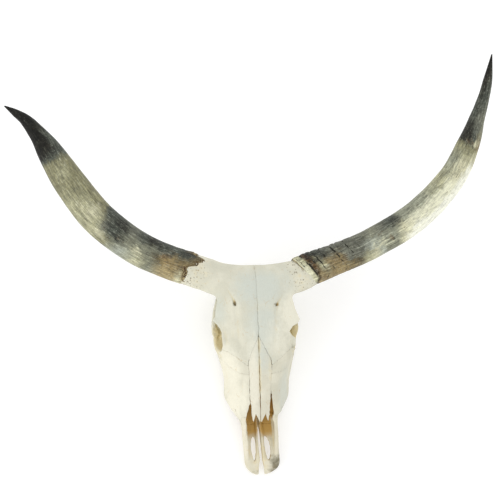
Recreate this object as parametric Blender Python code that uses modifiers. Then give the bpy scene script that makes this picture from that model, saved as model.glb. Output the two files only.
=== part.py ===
"""Skull of a long-horned cow, life size, lying on its cheek teeth and the back of its base.

The bones are modelled in the frame of the face: X to the side, Y up the forehead to the poll, Z out of
the forehead, with the middle of the poll over the zero point. One empty then lays them down at the slope
at which the skull rests. Every length below is in millimetres, and MM turns it into metres.

The skull is modelled whole, as lofts, tubes and balls that are melted into one skin, hollowed, and then
parted into its bones along thin cuts. The two horn sheaths differ, as they do on the real animal.
"""

import math
from dataclasses import dataclass, replace

import bmesh
import bpy
from mathutils import Matrix, Vector

MM = 0.001
PART_NAME = "long_horned_cow_skull"

# How the skull lies: the face slopes up to the poll, and the zero point is this high above the floor
REST_SLOPE = math.radians(18.4)
ZERO_HEIGHT = 225.8
SIN_SLOPE = math.sin(REST_SLOPE)
COS_SLOPE = math.cos(REST_SLOPE)

# Gaps between pieces that touch
SUTURE_GAP = 0.4
HORN_GAP = 0.3

# Melting the solids into one skin
SKIN_VOXEL = 3.4
SKIN_SMOOTHING = 5
SKIN_TRIANGLES = 3250
RING_POINTS_PER_KNOT = 4
SECTIONS_PER_STATION = 3
TUBE_POINTS_PER_KNOT = 4
WELD_DISTANCE = 0.01

# Nasal bones
NASAL_THICKNESS = 7.0
NASAL_CROWN = 0.5
NASAL_HALF_WIDTH = 28.5
NASAL_ARCH = 6.0
NASAL_BACK_WIDTH = 2.0
NASAL_SHARES = (0.0, 0.35, 0.7, 1.0)

# Cheek teeth, from the second premolar back
TOOTH_LENGTHS = (14.0, 18.0, 19.0, 24.0, 28.0, 29.0)
TOOTH_WIDTHS = (13.0, 16.0, 18.0, 21.0, 22.0, 20.0)
TOOTH_ROW_FRONT = -368.0
TOOTH_ROW_SIDE_FRONT = 53.0
TOOTH_ROW_SIDE_BACK = 61.0
TOOTH_ROOT = 34.0
TOOTH_GAP = 0.5
TOOTH_BEVEL = 4.0

# Horn sheaths, and the counts of faces round tubes and balls
SHEATH_PROUD = 0.3
HORN_POINTS_PER_KNOT = 3
HORN_ROUNDNESS = 6
TUBE_ROUNDNESS = 4
BALL_SIDES = 14
BALL_RINGS = 8
SHARP_ANGLE = math.radians(40)


@dataclass(frozen=True)
class Station:
    """One section of a loft: where it stands along Y, and five points down its right half."""

    y: float
    top: float
    shoulder: tuple
    side: tuple
    edge: tuple
    bottom: float
    lean: float = 0.0


# How far down the middle of a section lies, about which a station leans
LEAN_CENTRE = -120.0

# The roof of the skull: frontal bones from the poll to the front of the orbits
ROOF = (
    Station(-2, -54, (52, -56), (82, -64), (56, -76), -78),
    Station(-8, -42, (60, -44), (90, -62), (64, -86), -90),
    Station(-22, -31, (64, -34), (97, -62), (70, -94), -96),
    Station(-45, -19, (64, -24), (104, -60), (72, -92), -90),
    Station(-65, -12, (62, -18), (98, -53), (68, -82), -86),
    Station(-85, -7, (60, -14), (93, -47), (62, -72), -80),
    Station(-110, -3, (62, -12), (98, -45), (65, -66), -80),
    Station(-130, -1, (66, -13), (104, -48), (70, -66), -80),
    Station(-145, 0, (68, -14), (108, -52), (74, -68), -80),
    Station(-165, 0, (64, -12), (93, -40), (66, -56), -80),
    Station(-190, 0, (60, -11), (86, -36), (62, -55), -80),
    Station(-215, 0, (60, -11), (87, -42), (60, -70), -80),
    Station(-235, -1, (58, -12), (84, -50), (56, -70), -80),
)

# The braincase under it, to the occipital surface
BRAINCASE = (
    Station(-24, -62, (44, -68), (72, -112), (50, -160), -182, 0.20),
    Station(-36, -54, (52, -64), (80, -116), (56, -166), -190, 0.20),
    Station(-56, -50, (54, -62), (80, -118), (52, -166), -188, 0.10),
    Station(-76, -50, (54, -62), (64, -112), (42, -162), -182),
    Station(-100, -50, (52, -60), (56, -104), (34, -156), -174),
    Station(-130, -50, (50, -60), (50, -95), (28, -146), -166),
    Station(-160, -40, (46, -56), (42, -85), (28, -138), -156),
    Station(-200, -30, (44, -50), (40, -85), (32, -136), -148),
    Station(-222, -30, (40, -50), (38, -85), (32, -130), -142),
)

# The face: maxillae with the lacrimals and the palate between the tooth rows
FACE = (
    Station(-192, -8, (50, -20), (66, -92), (48, -136), -136),
    Station(-212, -1, (64, -16), (92, -86), (66, -146), -130),
    Station(-240, 0, (62, -14), (91, -86), (71, -138), -121),
    Station(-262, 0, (57, -13), (85, -85), (70, -130), -113),
    Station(-292, 0, (51, -12), (81, -81), (68, -121), -104),
    Station(-320, 0, (46, -11), (82, -77), (66, -112), -95),
    Station(-345, 0, (42, -11), (74, -71), (60, -104), -88),
    Station(-366, 0, (40, -12), (60, -66), (53, -96), -82),
    Station(-384, -1, (38, -14), (50, -60), (47, -88), -77),
    Station(-392, -6, (38, -20), (46, -60), (42, -80), -76),
)

# The bony floor of the nose, to the lobes at the tip
NOSE_FLOOR = (
    Station(-372, -66, (40, -66), (46, -71), (40, -80), -80),
    Station(-400, -62, (36, -62), (42.5, -67), (36, -75), -75),
    Station(-430, -56, (36, -56), (42, -61), (36, -68), -68),
    Station(-460, -49, (36, -49), (42, -54), (36, -61), -61),
    Station(-486, -42, (37, -42), (45, -48), (37, -55), -55),
    Station(-502, -39, (35, -39), (45, -45), (35, -52), -52),
    Station(-514, -39, (28, -39), (39, -44), (28, -50), -50),
    Station(-522, -41, (14, -41), (25, -44), (14, -48), -48),
    Station(-524, -42, (8, -42), (15, -44.5), (8, -47), -47),
)


@dataclass(frozen=True)
class Knot:
    """One point on the middle line of a tube, with the radius there."""

    x: float
    y: float
    z: float
    radius: float


ORBIT_RIM = (
    Knot(102, -147, -52, 8.5),
    Knot(92, -163, -36, 7),
    Knot(84, -184, -30, 7),
    Knot(82, -206, -36, 8),
    Knot(86, -219, -58, 9),
    Knot(95, -211, -83, 9),
    Knot(101, -190, -92, 8),
    Knot(103, -166, -91, 8),
    Knot(103, -149, -76, 7),
)
ZYGOMATIC_ARCH = (
    Knot(102, -172, -93, 9),
    Knot(101, -142, -97, 8),
    Knot(95, -118, -99, 7),
    Knot(86, -94, -102, 8),
    Knot(76, -70, -108, 11),
    Knot(64, -56, -114, 14),
)
FACIAL_CREST = (
    Knot(96, -205, -88, 9),
    Knot(87, -240, -91, 8),
    Knot(79, -285, -86, 7),
    Knot(79, -320, -80, 7),
)

# Side plates of the nose: (y, upper edge (x, z), lower edge (x, z), thickness)
NOSE_PLATE = (
    (-364, (40, -20), (49, -86), 12),
    (-384, (38, -20), (44.5, -78), 11),
    (-410, (37.5, -25), (42, -70), 10),
    (-440, (38, -32), (41.5, -62), 10),
    (-466, (38, -39), (41, -56), 10),
    (-490, (37, -43), (40, -51), 9),
)
PARACONDYLAR_PROCESS = (
    Knot(58, -56, -148, 20),
    Knot(57, -52, -176, 16),
    Knot(54, -48, -204, 11.5),
    Knot(51, -45, -232, 8),
)
BASE_OF_SKULL = (
    Knot(0, -48, -186, 20),
    Knot(0, -90, -178, 20),
    Knot(0, -140, -162, 15),
    Knot(0, -190, -146, 12),
)
PTERYGOID = (
    Knot(24, -165, -140, 8),
    Knot(24, -180, -158, 5.5),
    Knot(25, -205, -152, 6),
    Knot(34, -222, -140, 8),
)
PEDICLE_LEFT = (
    Knot(-50, -46, -62, 38),
    Knot(-92, -33, -66, 41),
    Knot(-121, -20, -68, 42),
    Knot(-149, -11.5, -68, 42),
    Knot(-202, 8, -64, 41.5),
)
PEDICLE_RIGHT = (
    Knot(50, -46, -62, 38),
    Knot(94, -36, -66, 41),
    Knot(125, -27, -68, 42),
    Knot(154, -13.5, -68, 41.5),
    Knot(206, 5, -64, 40),
)
HORN_LEFT = (
    Knot(-92, -30, -66, 41),
    Knot(-149, -11, -68, 43),
    Knot(-228, 18, -62, 42.5),
    Knot(-303, 57, -48, 43),
    Knot(-387, 126, -28, 43.5),
    Knot(-452, 212, -11, 40),
    Knot(-494, 281, -6, 33),
    Knot(-523, 328, -8, 23),
    Knot(-553, 367, -17, 15.5),
    Knot(-580, 389, -27, 10),
    Knot(-606, 405, -36, 1.2),
)
HORN_RIGHT = (
    Knot(94, -34, -66, 41),
    Knot(154, -13, -68, 42.5),
    Knot(215, 8, -65, 39.5),
    Knot(306, 46, -50, 39),
    Knot(417, 113, -28, 38.5),
    Knot(504, 204, -6, 35),
    Knot(546, 289, 8, 29),
    Knot(568, 350, 15, 20),
    Knot(585, 400, 19, 15.5),
    Knot(598, 452, 22, 11),
    Knot(609, 514, 25, 1.2),
)


@dataclass(frozen=True)
class Ball:
    """An ellipsoid: its centre, half sizes, and turn about X, Y and Z in radians, on the right side."""

    name: str
    centre: tuple
    radii: tuple
    turn: tuple = (0.0, 0.0, 0.0)


PAIRED_SOLIDS = (
    Ball("lacrimal", (66, -226, -54), (13, 24, 32), (0, 0.2, 0)),
    Ball("lacrimal_bulla", (68, -194, -112), (25, 38, 24)),
    Ball("occipital_condyle", (26, -46, -191), (17, 22, 23), (0.3, 0, 0.35)),
    Ball("tympanic_bulla", (42, -86, -174), (13, 19, 19)),
    Ball("ear_region", (66, -66, -132), (15, 20, 26)),
)
PAIRED_HOLLOWS = (
    Ball("orbit", (100, -180, -57), (60, 35, 30), (0, -0.2, -0.15)),
)
MIDDLE_HOLLOWS = (
    Ball("choanae", (0, -205, -146), (17, 34, 17), (-0.25, 0, 0)),
    Ball("foramen_magnum", (0, -34, -172), (17, 40, 15), (0.2, 0, 0)),
    Ball("palate_vault", (0, -312, -118), (43, 84, 25), (-0.32, 0, 0)),
)

# The nasal cavity, from inside the face to the bony floor of the nose
NASAL_CAVITY = (
    Station(-300, -30, (12, -32), (16, -46), (12, -58), -60),
    Station(-320, -10, (22, -12), (28, -44), (22, -66), -68),
    Station(-350, -8.5, (24, -10), (32, -44), (28, -66), -68),
    Station(-392, -8.5, (28, -10), (33.5, -40), (29, -62), -64),
    Station(-420, -8.5, (28, -10), (33, -36), (28, -56), -59),
    Station(-446, -8.5, (26, -10), (31, -34), (25, -50), -53),
)

# The slanting rims of the sheaths: a point on the middle of each, and the way its plane faces
LEFT_RIM_POINT = Vector((-141, -14, -68))
LEFT_RIM_FACING = Vector((-0.80, 0.60, 0.0))
RIGHT_RIM_POINT = Vector((128, -24, -68))
RIGHT_RIM_FACING = Vector((0.76, 0.65, 0.0))

# Outlines in the plane of the face, as (x, y): right halves, and the slit whole
NASAL_OUTLINE = (
    (0, -175), (9, -196), (20, -218), (28, -240), (28.5, -262),
    (27, -300), (25, -345), (22, -378), (19, -389),
)
NASAL_NOTCH = ((4.2, -401), (4.2, -390), (11.8, -372), (17.9, -390), (17.9, -401))
APERTURE_OUTLINE = (
    (0, -330), (24.5, -343), (29, -364), (32.5, -386),
    (34, -410), (33, -432), (27, -446), (0, -446),
)
FISSURE_OUTLINE = (
    (17, -435), (22, -439), (24.5, -450), (24, -466), (19, -481),
    (14, -487), (10.5, -478), (9.5, -458), (11, -443),
)
SLIT_OUTLINE = (
    (-1.6, -432), (1.6, -432), (2.0, -470), (6.0, -484),
    (6.5, -530), (-6.5, -530), (-6.0, -484), (-2.0, -470),
)

# How deep the cuts through the face run, as (lowest z, highest z)
APERTURE_DEPTH = (-40.0, 40.0)
FISSURE_DEPTH = (-120.0, 40.0)
NOTCH_DEPTH = (-60.0, 40.0)
NASAL_BED_TOP = 30.0

# Size of the block that stands for all the space beyond a plane
HALF_SPACE_REACH = 900.0

# Sutures seen from the side, as (y, z), from the top edge down
MAXILLA_SUTURE = ((-277, 12), (-222, -118), (-160, -265))
PREMAXILLA_SUTURE = ((-372, 10), (-380, -20), (-404, -66), (-418, -110))
BEHIND_THE_SKULL = ((200, -265), (200, 12))
BEFORE_THE_NOSE = ((-600, -110), (-600, 10))
ZYGOMATIC_OUTLINE = (
    (-236, -74), (-206, -60), (-150, -60), (-118, -80), (-108, -130), (-222, -118),
)
ZYGOMATIC_INNER_SIDE = 70.0
ZYGOMATIC_CLEARANCE = 1.6 * SUTURE_GAP
FACE_HALF_WIDTH = 140.0
SKULL_REACH = 400.0

# Colours (linear), roughness
BONE_CREAM = (0.66, 0.63, 0.52)
BONE_FOREHEAD = (0.60, 0.62, 0.54)
BONE_NASAL = (0.67, 0.63, 0.50)
BONE_NOSE = (0.62, 0.57, 0.43)
HORN_OLIVE = (0.24, 0.22, 0.15)
BONE_ROUGHNESS = 0.75
HORN_ROUGHNESS = 0.5


def clear_scene():
    """Remove whatever the file holds."""
    for obj in list(bpy.data.objects):
        bpy.data.objects.remove(obj, do_unlink=True)


def collection(name):
    """Return a new collection in the scene."""
    group = bpy.data.collections.new(name)
    bpy.context.scene.collection.children.link(group)
    return group


def drop(obj):
    """Remove an object and its data."""
    bpy.data.objects.remove(obj, do_unlink=True)


def add_object(name, data, group):
    """Link new data as an object."""
    obj = bpy.data.objects.new(name, data)
    group.objects.link(obj)
    return obj


def bake(obj):
    """Turn an object's modifiers, or a curve, into a plain mesh object of the same name."""
    bpy.context.view_layer.update()
    graph = bpy.context.evaluated_depsgraph_get()
    mesh = bpy.data.meshes.new_from_object(obj.evaluated_get(graph))
    if obj.type == "MESH":
        obj.modifiers.clear()
        obj.data = mesh
        return obj
    name = obj.name
    group = obj.users_collection[0]
    drop(obj)
    return add_object(name, mesh, group)


def reshape(obj, work):
    """Run one bmesh job on an object's mesh."""
    shape = bmesh.new()
    shape.from_mesh(obj.data)
    work(shape)
    shape.to_mesh(obj.data)
    shape.free()


def smooth_line(knots, steps, closed=False):
    """Read points from a Catmull-Rom curve through tuples of numbers."""
    count = len(knots)
    spans = count if closed else count - 1
    points = []
    for span in range(spans):
        around = []
        for offset in (-1, 0, 1, 2):
            index = span + offset
            index = index % count if closed else min(max(index, 0), count - 1)
            around.append(knots[index])
        for step in range(steps):
            t = step / steps
            weights = (
                -0.5 * t + t * t - 0.5 * t ** 3,
                1 - 2.5 * t * t + 1.5 * t ** 3,
                0.5 * t + 2 * t * t - 1.5 * t ** 3,
                -0.5 * t * t + 0.5 * t ** 3,
            )
            points.append(tuple(
                sum(weight * knot[axis] for weight, knot in zip(weights, around))
                for axis in range(len(knots[0]))
            ))
    if not closed:
        points.append(tuple(float(value) for value in knots[-1]))
    return points


def loft(name, rings, group):
    """Skin a row of rings with the same number of points, and close both ends."""
    shape = bmesh.new()
    rows = [[shape.verts.new(Vector(point) * MM) for point in ring] for ring in rings]
    sides = len(rings[0])
    for row, following in zip(rows, rows[1:]):
        for index in range(sides):
            after = (index + 1) % sides
            shape.faces.new((row[index], row[after], following[after], following[index]))
    shape.faces.new(rows[0])
    shape.faces.new(rows[-1])
    bmesh.ops.recalc_face_normals(shape, faces=shape.faces)
    mesh = bpy.data.meshes.new(name)
    shape.to_mesh(mesh)
    shape.free()
    return add_object(name, mesh, group)


def station_ring(station):
    """Close the right half of a station with its mirror image, as a smooth ring."""
    right = [station.shoulder, station.side, station.edge]
    left = [(-x, z) for x, z in reversed(right)]
    knots = [(0.0, station.top)] + right + [(0.0, station.bottom)] + left
    ring = smooth_line(knots, RING_POINTS_PER_KNOT, closed=True)
    return [(x, station.y + station.lean * (z - LEAN_CENTRE), z) for x, z in ring]


def station_loft(name, stations, group):
    """Loft through a table of stations, with in-between sections from a smooth curve."""
    rings = [station_ring(station) for station in stations]
    flat = [tuple(value for point in ring for value in point) for ring in rings]
    between = smooth_line(flat, SECTIONS_PER_STATION)
    rows = [[row[index:index + 3] for index in range(0, len(row), 3)] for row in between]
    return loft(name, rows, group)


def side_plate(name, stations, group, side):
    """Loft a standing plate with rounded edges along Y."""
    rings = []
    for y, (top_x, top_z), (low_x, low_z), thickness in stations:
        along = Vector((low_x - top_x, low_z - top_z)).normalized() * 0.5 * thickness
        across = Vector((-along.y, along.x))
        top = Vector((top_x, top_z))
        low = Vector((low_x, low_z))
        corners = (top - along, top + across, low + across, low + along, low - across, top - across)
        rings.append([(side * corner.x, y, corner.y) for corner in corners])
    return loft(name, rings, group)


def tube(name, knots, group, side=1, closed=False, roundness=TUBE_ROUNDNESS, steps=TUBE_POINTS_PER_KNOT):
    """Sweep a round section of changing radius along a smooth line, mirrored for side -1."""
    table = [(side * knot.x, knot.y, knot.z, knot.radius) for knot in knots]
    points = smooth_line(table, steps, closed)
    curve = bpy.data.curves.new(name, "CURVE")
    curve.dimensions = "3D"
    curve.bevel_depth = MM
    curve.bevel_resolution = roundness
    curve.use_fill_caps = not closed
    spline = curve.splines.new("POLY")
    spline.points.add(len(points) - 1)
    spline.use_cyclic_u = closed
    for spot, (x, y, z, radius) in zip(spline.points, points):
        spot.co = (x * MM, y * MM, z * MM, 1.0)
        spot.radius = radius
    obj = bake(add_object(name, curve, group))
    reshape(obj, weld_caps)
    return obj


def weld_caps(shape):
    """Join the loose caps of a swept or extruded curve to it."""
    bmesh.ops.remove_doubles(shape, verts=shape.verts, dist=WELD_DISTANCE * MM)
    bmesh.ops.recalc_face_normals(shape, faces=shape.faces)


def ball(shape_of, group, side=1):
    """Make an ellipsoid from a sphere, mirrored for side -1."""
    mesh = bpy.data.meshes.new(shape_of.name)
    shape = bmesh.new()
    bmesh.ops.create_uvsphere(shape, u_segments=BALL_SIDES, v_segments=BALL_RINGS, radius=1.0)
    x, y, z = shape_of.centre
    about_x, about_y, about_z = shape_of.turn
    turn_z = Matrix.Rotation(side * about_z, 4, "Z")
    turn_y = Matrix.Rotation(side * about_y, 4, "Y")
    turn_x = Matrix.Rotation(about_x, 4, "X")
    place = Matrix.Translation(Vector((side * x, y, z)) * MM)
    size = Matrix.Diagonal((*(value * MM for value in shape_of.radii), 1.0))
    shape.transform(place @ turn_z @ turn_y @ turn_x @ size)
    shape.to_mesh(mesh)
    shape.free()
    return add_object(shape_of.name, mesh, group)


def flat_block(name, outline, low, high, group):
    """Fill an outline of the face plane and extrude it between two heights."""
    curve = bpy.data.curves.new(name, "CURVE")
    curve.dimensions = "2D"
    curve.fill_mode = "BOTH"
    curve.extrude = 0.5 * abs(high - low) * MM
    spline = curve.splines.new("POLY")
    spline.points.add(len(outline) - 1)
    spline.use_cyclic_u = True
    for spot, (x, y) in zip(spline.points, outline):
        spot.co = (x * MM, y * MM, 0.0, 1.0)
    obj = bake(add_object(name, curve, group))
    obj.data.transform(Matrix.Translation((0.0, 0.0, 0.5 * (low + high) * MM)))
    reshape(obj, weld_caps)
    return obj


def side_block(name, outline, inner, outer, group):
    """Fill a side outline (y, z) and extrude it across the skull between two values of X."""
    obj = flat_block(name, outline, inner, outer, group)
    obj.data.transform(Matrix(((0, 0, 1, 0), (1, 0, 0, 0), (0, 1, 0, 0), (0, 0, 0, 1))))
    return obj


def half_space(name, point, facing, group, reach=HALF_SPACE_REACH):
    """Make a large block that begins at a plane and fills the side that the plane faces."""
    mesh = bpy.data.meshes.new(name)
    shape = bmesh.new()
    bmesh.ops.create_cube(shape, size=1.0)
    turn = facing.to_track_quat("Z", "Y").to_matrix().to_4x4()
    place = Matrix.Translation(point * MM) @ turn @ Matrix.Translation((0, 0, 0.5 * reach * MM))
    shape.transform(place @ Matrix.Scale(reach * MM, 4))
    shape.to_mesh(mesh)
    shape.free()
    return add_object(name, mesh, group)


def combine(target, others, operation):
    """Boolean other objects into a target one by one, and remove them."""
    for other in others:
        cut = target.modifiers.new("cut", "BOOLEAN")
        cut.operation = operation
        cut.solver = "EXACT"
        cut.object = other
        bake(target)
        drop(other)
    return target


def join(name, pieces, group):
    """Put several meshes into one object without changing them."""
    shape = bmesh.new()
    for piece in pieces:
        shape.from_mesh(piece.data)
        drop(piece)
    mesh = bpy.data.meshes.new(name)
    shape.to_mesh(mesh)
    shape.free()
    return add_object(name, mesh, group)


def melt(name, pieces, group):
    """Turn overlapping solids into one smooth skin."""
    obj = join(name, pieces, group)
    remesh = obj.modifiers.new("one skin", "REMESH")
    remesh.mode = "VOXEL"
    remesh.voxel_size = SKIN_VOXEL * MM
    smooth = obj.modifiers.new("soft joins", "SMOOTH")
    smooth.factor = 0.5
    smooth.iterations = SKIN_SMOOTHING
    return bake(obj)


def thin_out(obj, triangles):
    """Reduce a mesh to about the stated number of triangles."""
    reshape(obj, lambda shape: bmesh.ops.triangulate(shape, faces=shape.faces))
    reduce = obj.modifiers.new("fewer faces", "DECIMATE")
    reduce.ratio = min(1.0, triangles / len(obj.data.polygons))
    reduce.use_collapse_triangulate = True
    return bake(obj)


def floor_z(y):
    """Return the Z, in the face frame, of the floor under a point at this Y."""
    return -(ZERO_HEIGHT + y * SIN_SLOPE) / COS_SLOPE


def cranial_solids(group):
    """Make the overlapping solids of the whole skull."""
    solids = [
        station_loft("roof", ROOF, group),
        station_loft("braincase", BRAINCASE, group),
        station_loft("face", FACE, group),
        station_loft("nose_floor", NOSE_FLOOR, group),
        tube("base", BASE_OF_SKULL, group),
        tube("pedicle_left", PEDICLE_LEFT, group),
        tube("pedicle_right", PEDICLE_RIGHT, group),
    ]
    for side in (-1, 1):
        solids.append(tube("orbit_rim", ORBIT_RIM, group, side, closed=True))
        solids.append(tube("zygomatic_arch", ZYGOMATIC_ARCH, group, side))
        solids.append(tube("facial_crest", FACIAL_CREST, group, side))
        solids.append(side_plate("nose_plate", NOSE_PLATE, group, side))
        solids.append(tube("paracondylar", PARACONDYLAR_PROCESS, group, side))
        solids.append(tube("pterygoid", PTERYGOID, group, side))
        solids.extend(ball(shape_of, group, side) for shape_of in PAIRED_SOLIDS)
    return solids


def hollows(group):
    """Make the cutters for orbits, nasal cavity, choanae, foramen magnum, fissures and slit."""
    cutters = [
        station_loft("nasal_cavity", NASAL_CAVITY, group),
        flat_block("aperture", mirrored(APERTURE_OUTLINE), *APERTURE_DEPTH, group),
        flat_block("slit", SLIT_OUTLINE, *FISSURE_DEPTH, group),
    ]
    cutters.extend(ball(shape_of, group) for shape_of in MIDDLE_HOLLOWS)
    for side in (-1, 1):
        fissure = [(side * x, y) for x, y in FISSURE_OUTLINE]
        cutters.append(flat_block("fissure", fissure, *FISSURE_DEPTH, group))
        cutters.extend(ball(shape_of, group, side) for shape_of in PAIRED_HOLLOWS)
    return cutters


def mirrored(half):
    """Close a right half outline with its mirror image, without doubling points on the middle line."""
    left = [(-x, y) for x, y in reversed(half) if x > 0]
    return list(half) + left


def nasal_bone(side, group):
    """Make one nasal bone: a long arched plate, pointed behind and forked in front."""
    rings = []
    inner = 0.5 * SUTURE_GAP
    for width, y in smooth_line(NASAL_OUTLINE, 2):
        outer = max(width, inner + NASAL_BACK_WIDTH)
        across = [inner + share * (outer - inner) for share in NASAL_SHARES]
        upper = [(side * x, y, nasal_height(x)) for x in across]
        lower = [(side * x, y, nasal_height(x) - NASAL_THICKNESS) for x in reversed(across)]
        rings.append(upper + lower)
    plate = loft("nasal", rings, group)
    notch = [(side * x, y) for x, y in NASAL_NOTCH]
    return combine(plate, [flat_block("notch", notch, *NOTCH_DEPTH, group)], "DIFFERENCE")


def nasal_height(x):
    """Return the height of the arched nasal bones at a distance from the middle line."""
    return NASAL_CROWN - NASAL_ARCH * (x / NASAL_HALF_WIDTH) ** 2


def nasal_bed(group):
    """Make the cutter for the recess that the two nasal bones lie in, with the gap round them."""
    outline = [(x + SUTURE_GAP, y) for x, y in NASAL_OUTLINE]
    outline[0] = (0, NASAL_OUTLINE[0][1] + 2 * SUTURE_GAP)
    rings = []
    for width, y in smooth_line(outline, 2):
        reach = max(width, NASAL_BACK_WIDTH + SUTURE_GAP)
        right = [share * reach for share in reversed(NASAL_SHARES)]
        across = right + [-x for x in reversed(right[:-1])]
        ring = [(x, y, NASAL_BED_TOP) for x in (-reach, 0.0, reach)]
        ring += [(x, y, nasal_height(x) - NASAL_THICKNESS - SUTURE_GAP) for x in across]
        rings.append(ring)
    return loft("nasal_bed", rings, group)


def tooth_row(side, group):
    """Make the six cheek teeth of one side, standing on the floor with flat worn crowns."""
    teeth = []
    front = TOOTH_ROW_FRONT
    for length, width in zip(TOOTH_LENGTHS, TOOTH_WIDTHS):
        y = front + 0.5 * length
        share = (y - TOOTH_ROW_FRONT) / sum(TOOTH_LENGTHS)
        x = TOOTH_ROW_SIDE_FRONT + share * (TOOTH_ROW_SIDE_BACK - TOOTH_ROW_SIDE_FRONT)
        place = Vector((side * x, y, floor_z(y)))
        teeth.append(tooth(place, width, length - TOOTH_GAP, group))
        front += length
    return teeth


def tooth(place, width, length, group):
    """Make one upright tooth with rounded corners, its worn face at the place given."""
    shape = bmesh.new()
    bmesh.ops.create_cube(shape, size=1.0)
    lift = Matrix.Translation((0.0, 0.0, 0.5))
    size = Matrix.Diagonal((width * MM, length * MM, TOOTH_ROOT * MM, 1.0))
    shape.transform(size @ lift)
    upright = [edge for edge in shape.edges if is_upright(edge)]
    bmesh.ops.bevel(shape, geom=upright, offset=TOOTH_BEVEL * MM, segments=1, affect="EDGES")
    shape.transform(Matrix.Translation(place * MM) @ Matrix.Rotation(-REST_SLOPE, 4, "X"))
    mesh = bpy.data.meshes.new("tooth")
    shape.to_mesh(mesh)
    shape.free()
    return add_object("tooth", mesh, group)


def is_upright(edge):
    """Tell whether an edge runs along Z."""
    first, second = edge.verts
    return (first.co.xy - second.co.xy).length < WELD_DISTANCE * MM


def split(whole, region, name, group):
    """Cut the part of a solid that lies in a region into a new object."""
    piece = add_object(name, whole.data.copy(), group)
    return combine(piece, [region], "INTERSECT")


def keep_largest(obj):
    """Drop loose crumbs that a cut left."""
    shape = bmesh.new()
    shape.from_mesh(obj.data)
    waiting = set(shape.verts)
    islands = []
    while waiting:
        island = island_of(waiting.pop())
        waiting -= island
        islands.append(island)
    islands.sort(key=len)
    crumbs = [vert for island in islands[:-1] for vert in island]
    bmesh.ops.delete(shape, geom=crumbs, context="VERTS")
    shape.to_mesh(obj.data)
    shape.free()


def island_of(seed):
    """Return the set of all vertices joined by edges to one vertex."""
    island = {seed}
    front = [seed]
    while front:
        for edge in front.pop().link_edges:
            for vert in edge.verts:
                if vert not in island:
                    island.add(vert)
                    front.append(vert)
    return island


def sheath(name, knots, rim_point, rim_facing, group):
    """Make one horn sheath, cut off square to its slanting rim."""
    proud = [replace(knot, radius=knot.radius + SHEATH_PROUD) for knot in knots[:-1]]
    proud.append(knots[-1])
    obj = tube(name, proud, group, roundness=HORN_ROUNDNESS, steps=HORN_POINTS_PER_KNOT)
    behind = half_space("rim", rim_point + rim_facing * HORN_GAP, -rim_facing, group)
    return combine(obj, [behind], "DIFFERENCE")


def material(name, colour, roughness):
    """Make a plain material."""
    finish = bpy.data.materials.new(name)
    finish.use_nodes = True
    shader = finish.node_tree.nodes["Principled BSDF"]
    shader.inputs["Base Color"].default_value = (*colour, 1.0)
    shader.inputs["Roughness"].default_value = roughness
    shader.inputs["Metallic"].default_value = 0.0
    return finish


def finish_piece(obj, name, finish, rest, group):
    """Name a finished solid, give it its material and hang it from the resting empty."""
    for home in list(obj.users_collection):
        home.objects.unlink(obj)
    group.objects.link(obj)
    obj.name = name
    obj.data.name = name
    obj.data.materials.clear()
    obj.data.materials.append(finish)
    obj.data.shade_smooth()
    obj.data.set_sharp_from_angle(angle=SHARP_ANGLE)
    obj.parent = rest


def whole_skull(group):
    """Model the skull in one piece, without horn sheaths, nasal bones and teeth."""
    skull = melt("skull", cranial_solids(group), group)
    thin_out(skull, SKIN_TRIANGLES)
    combine(skull, hollows(group), "DIFFERENCE")
    combine(skull, [nasal_bed(group)], "DIFFERENCE")
    floor_point = Vector((0.0, 0.0, floor_z(0.0)))
    floor_facing = Vector((0.0, -SIN_SLOPE, -COS_SLOPE))
    ends = [
        half_space("beyond_left_rim", LEFT_RIM_POINT, LEFT_RIM_FACING, group),
        half_space("beyond_right_rim", RIGHT_RIM_POINT, RIGHT_RIM_FACING, group),
        half_space("under_the_floor", floor_point, floor_facing, group),
    ]
    return combine(skull, ends, "DIFFERENCE")


def resting_empty(group):
    """Make the empty that lays the skull down at its slope."""
    rest = bpy.data.objects.new("skull_rest", None)
    group.objects.link(rest)
    rest.rotation_euler = (REST_SLOPE, 0.0, 0.0)
    rest.location.z = ZERO_HEIGHT * MM
    return rest


def shifted(line, step):
    """Move a side outline along Y."""
    return [(y + step, z) for y, z in line]


def zygomatic_bone(skull, side, group):
    """Part one zygomatic bone from the skull."""
    inner = side * ZYGOMATIC_INNER_SIDE
    cheek = side_block("region", ZYGOMATIC_OUTLINE, inner, side * FACE_HALF_WIDTH, group)
    piece = split(skull, cheek, "zygomatic", group)
    keep_largest(piece)
    return piece


def zygomatic_space(side, group):
    """Make the cutter for a zygomatic bone with the gap round it."""
    count = len(ZYGOMATIC_OUTLINE)
    middle_y = sum(y for y, _ in ZYGOMATIC_OUTLINE) / count
    middle_z = sum(z for _, z in ZYGOMATIC_OUTLINE) / count
    wide = []
    for y, z in ZYGOMATIC_OUTLINE:
        reach = math.hypot(y - middle_y, z - middle_z)
        grow = 1.0 + ZYGOMATIC_CLEARANCE / reach
        wide.append((middle_y + grow * (y - middle_y), middle_z + grow * (z - middle_z)))
    inner = side * (ZYGOMATIC_INNER_SIDE - SUTURE_GAP)
    outer = side * (FACE_HALF_WIDTH + SUTURE_GAP)
    return side_block("space", wide, inner, outer, group)


def maxilla_bone(skull, side, group):
    """Part one maxilla from the skull and set its teeth in it."""
    behind = shifted(MAXILLA_SUTURE, -0.5 * SUTURE_GAP)
    before = shifted(reversed(PREMAXILLA_SUTURE), 0.5 * SUTURE_GAP)
    inner = side * 0.5 * SUTURE_GAP
    block = side_block("region", behind + before, inner, side * FACE_HALF_WIDTH, group)
    piece = split(skull, block, "maxilla", group)
    combine(piece, [zygomatic_space(side, group)], "DIFFERENCE")
    keep_largest(piece)
    return combine(piece, tooth_row(side, group), "UNION")


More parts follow.
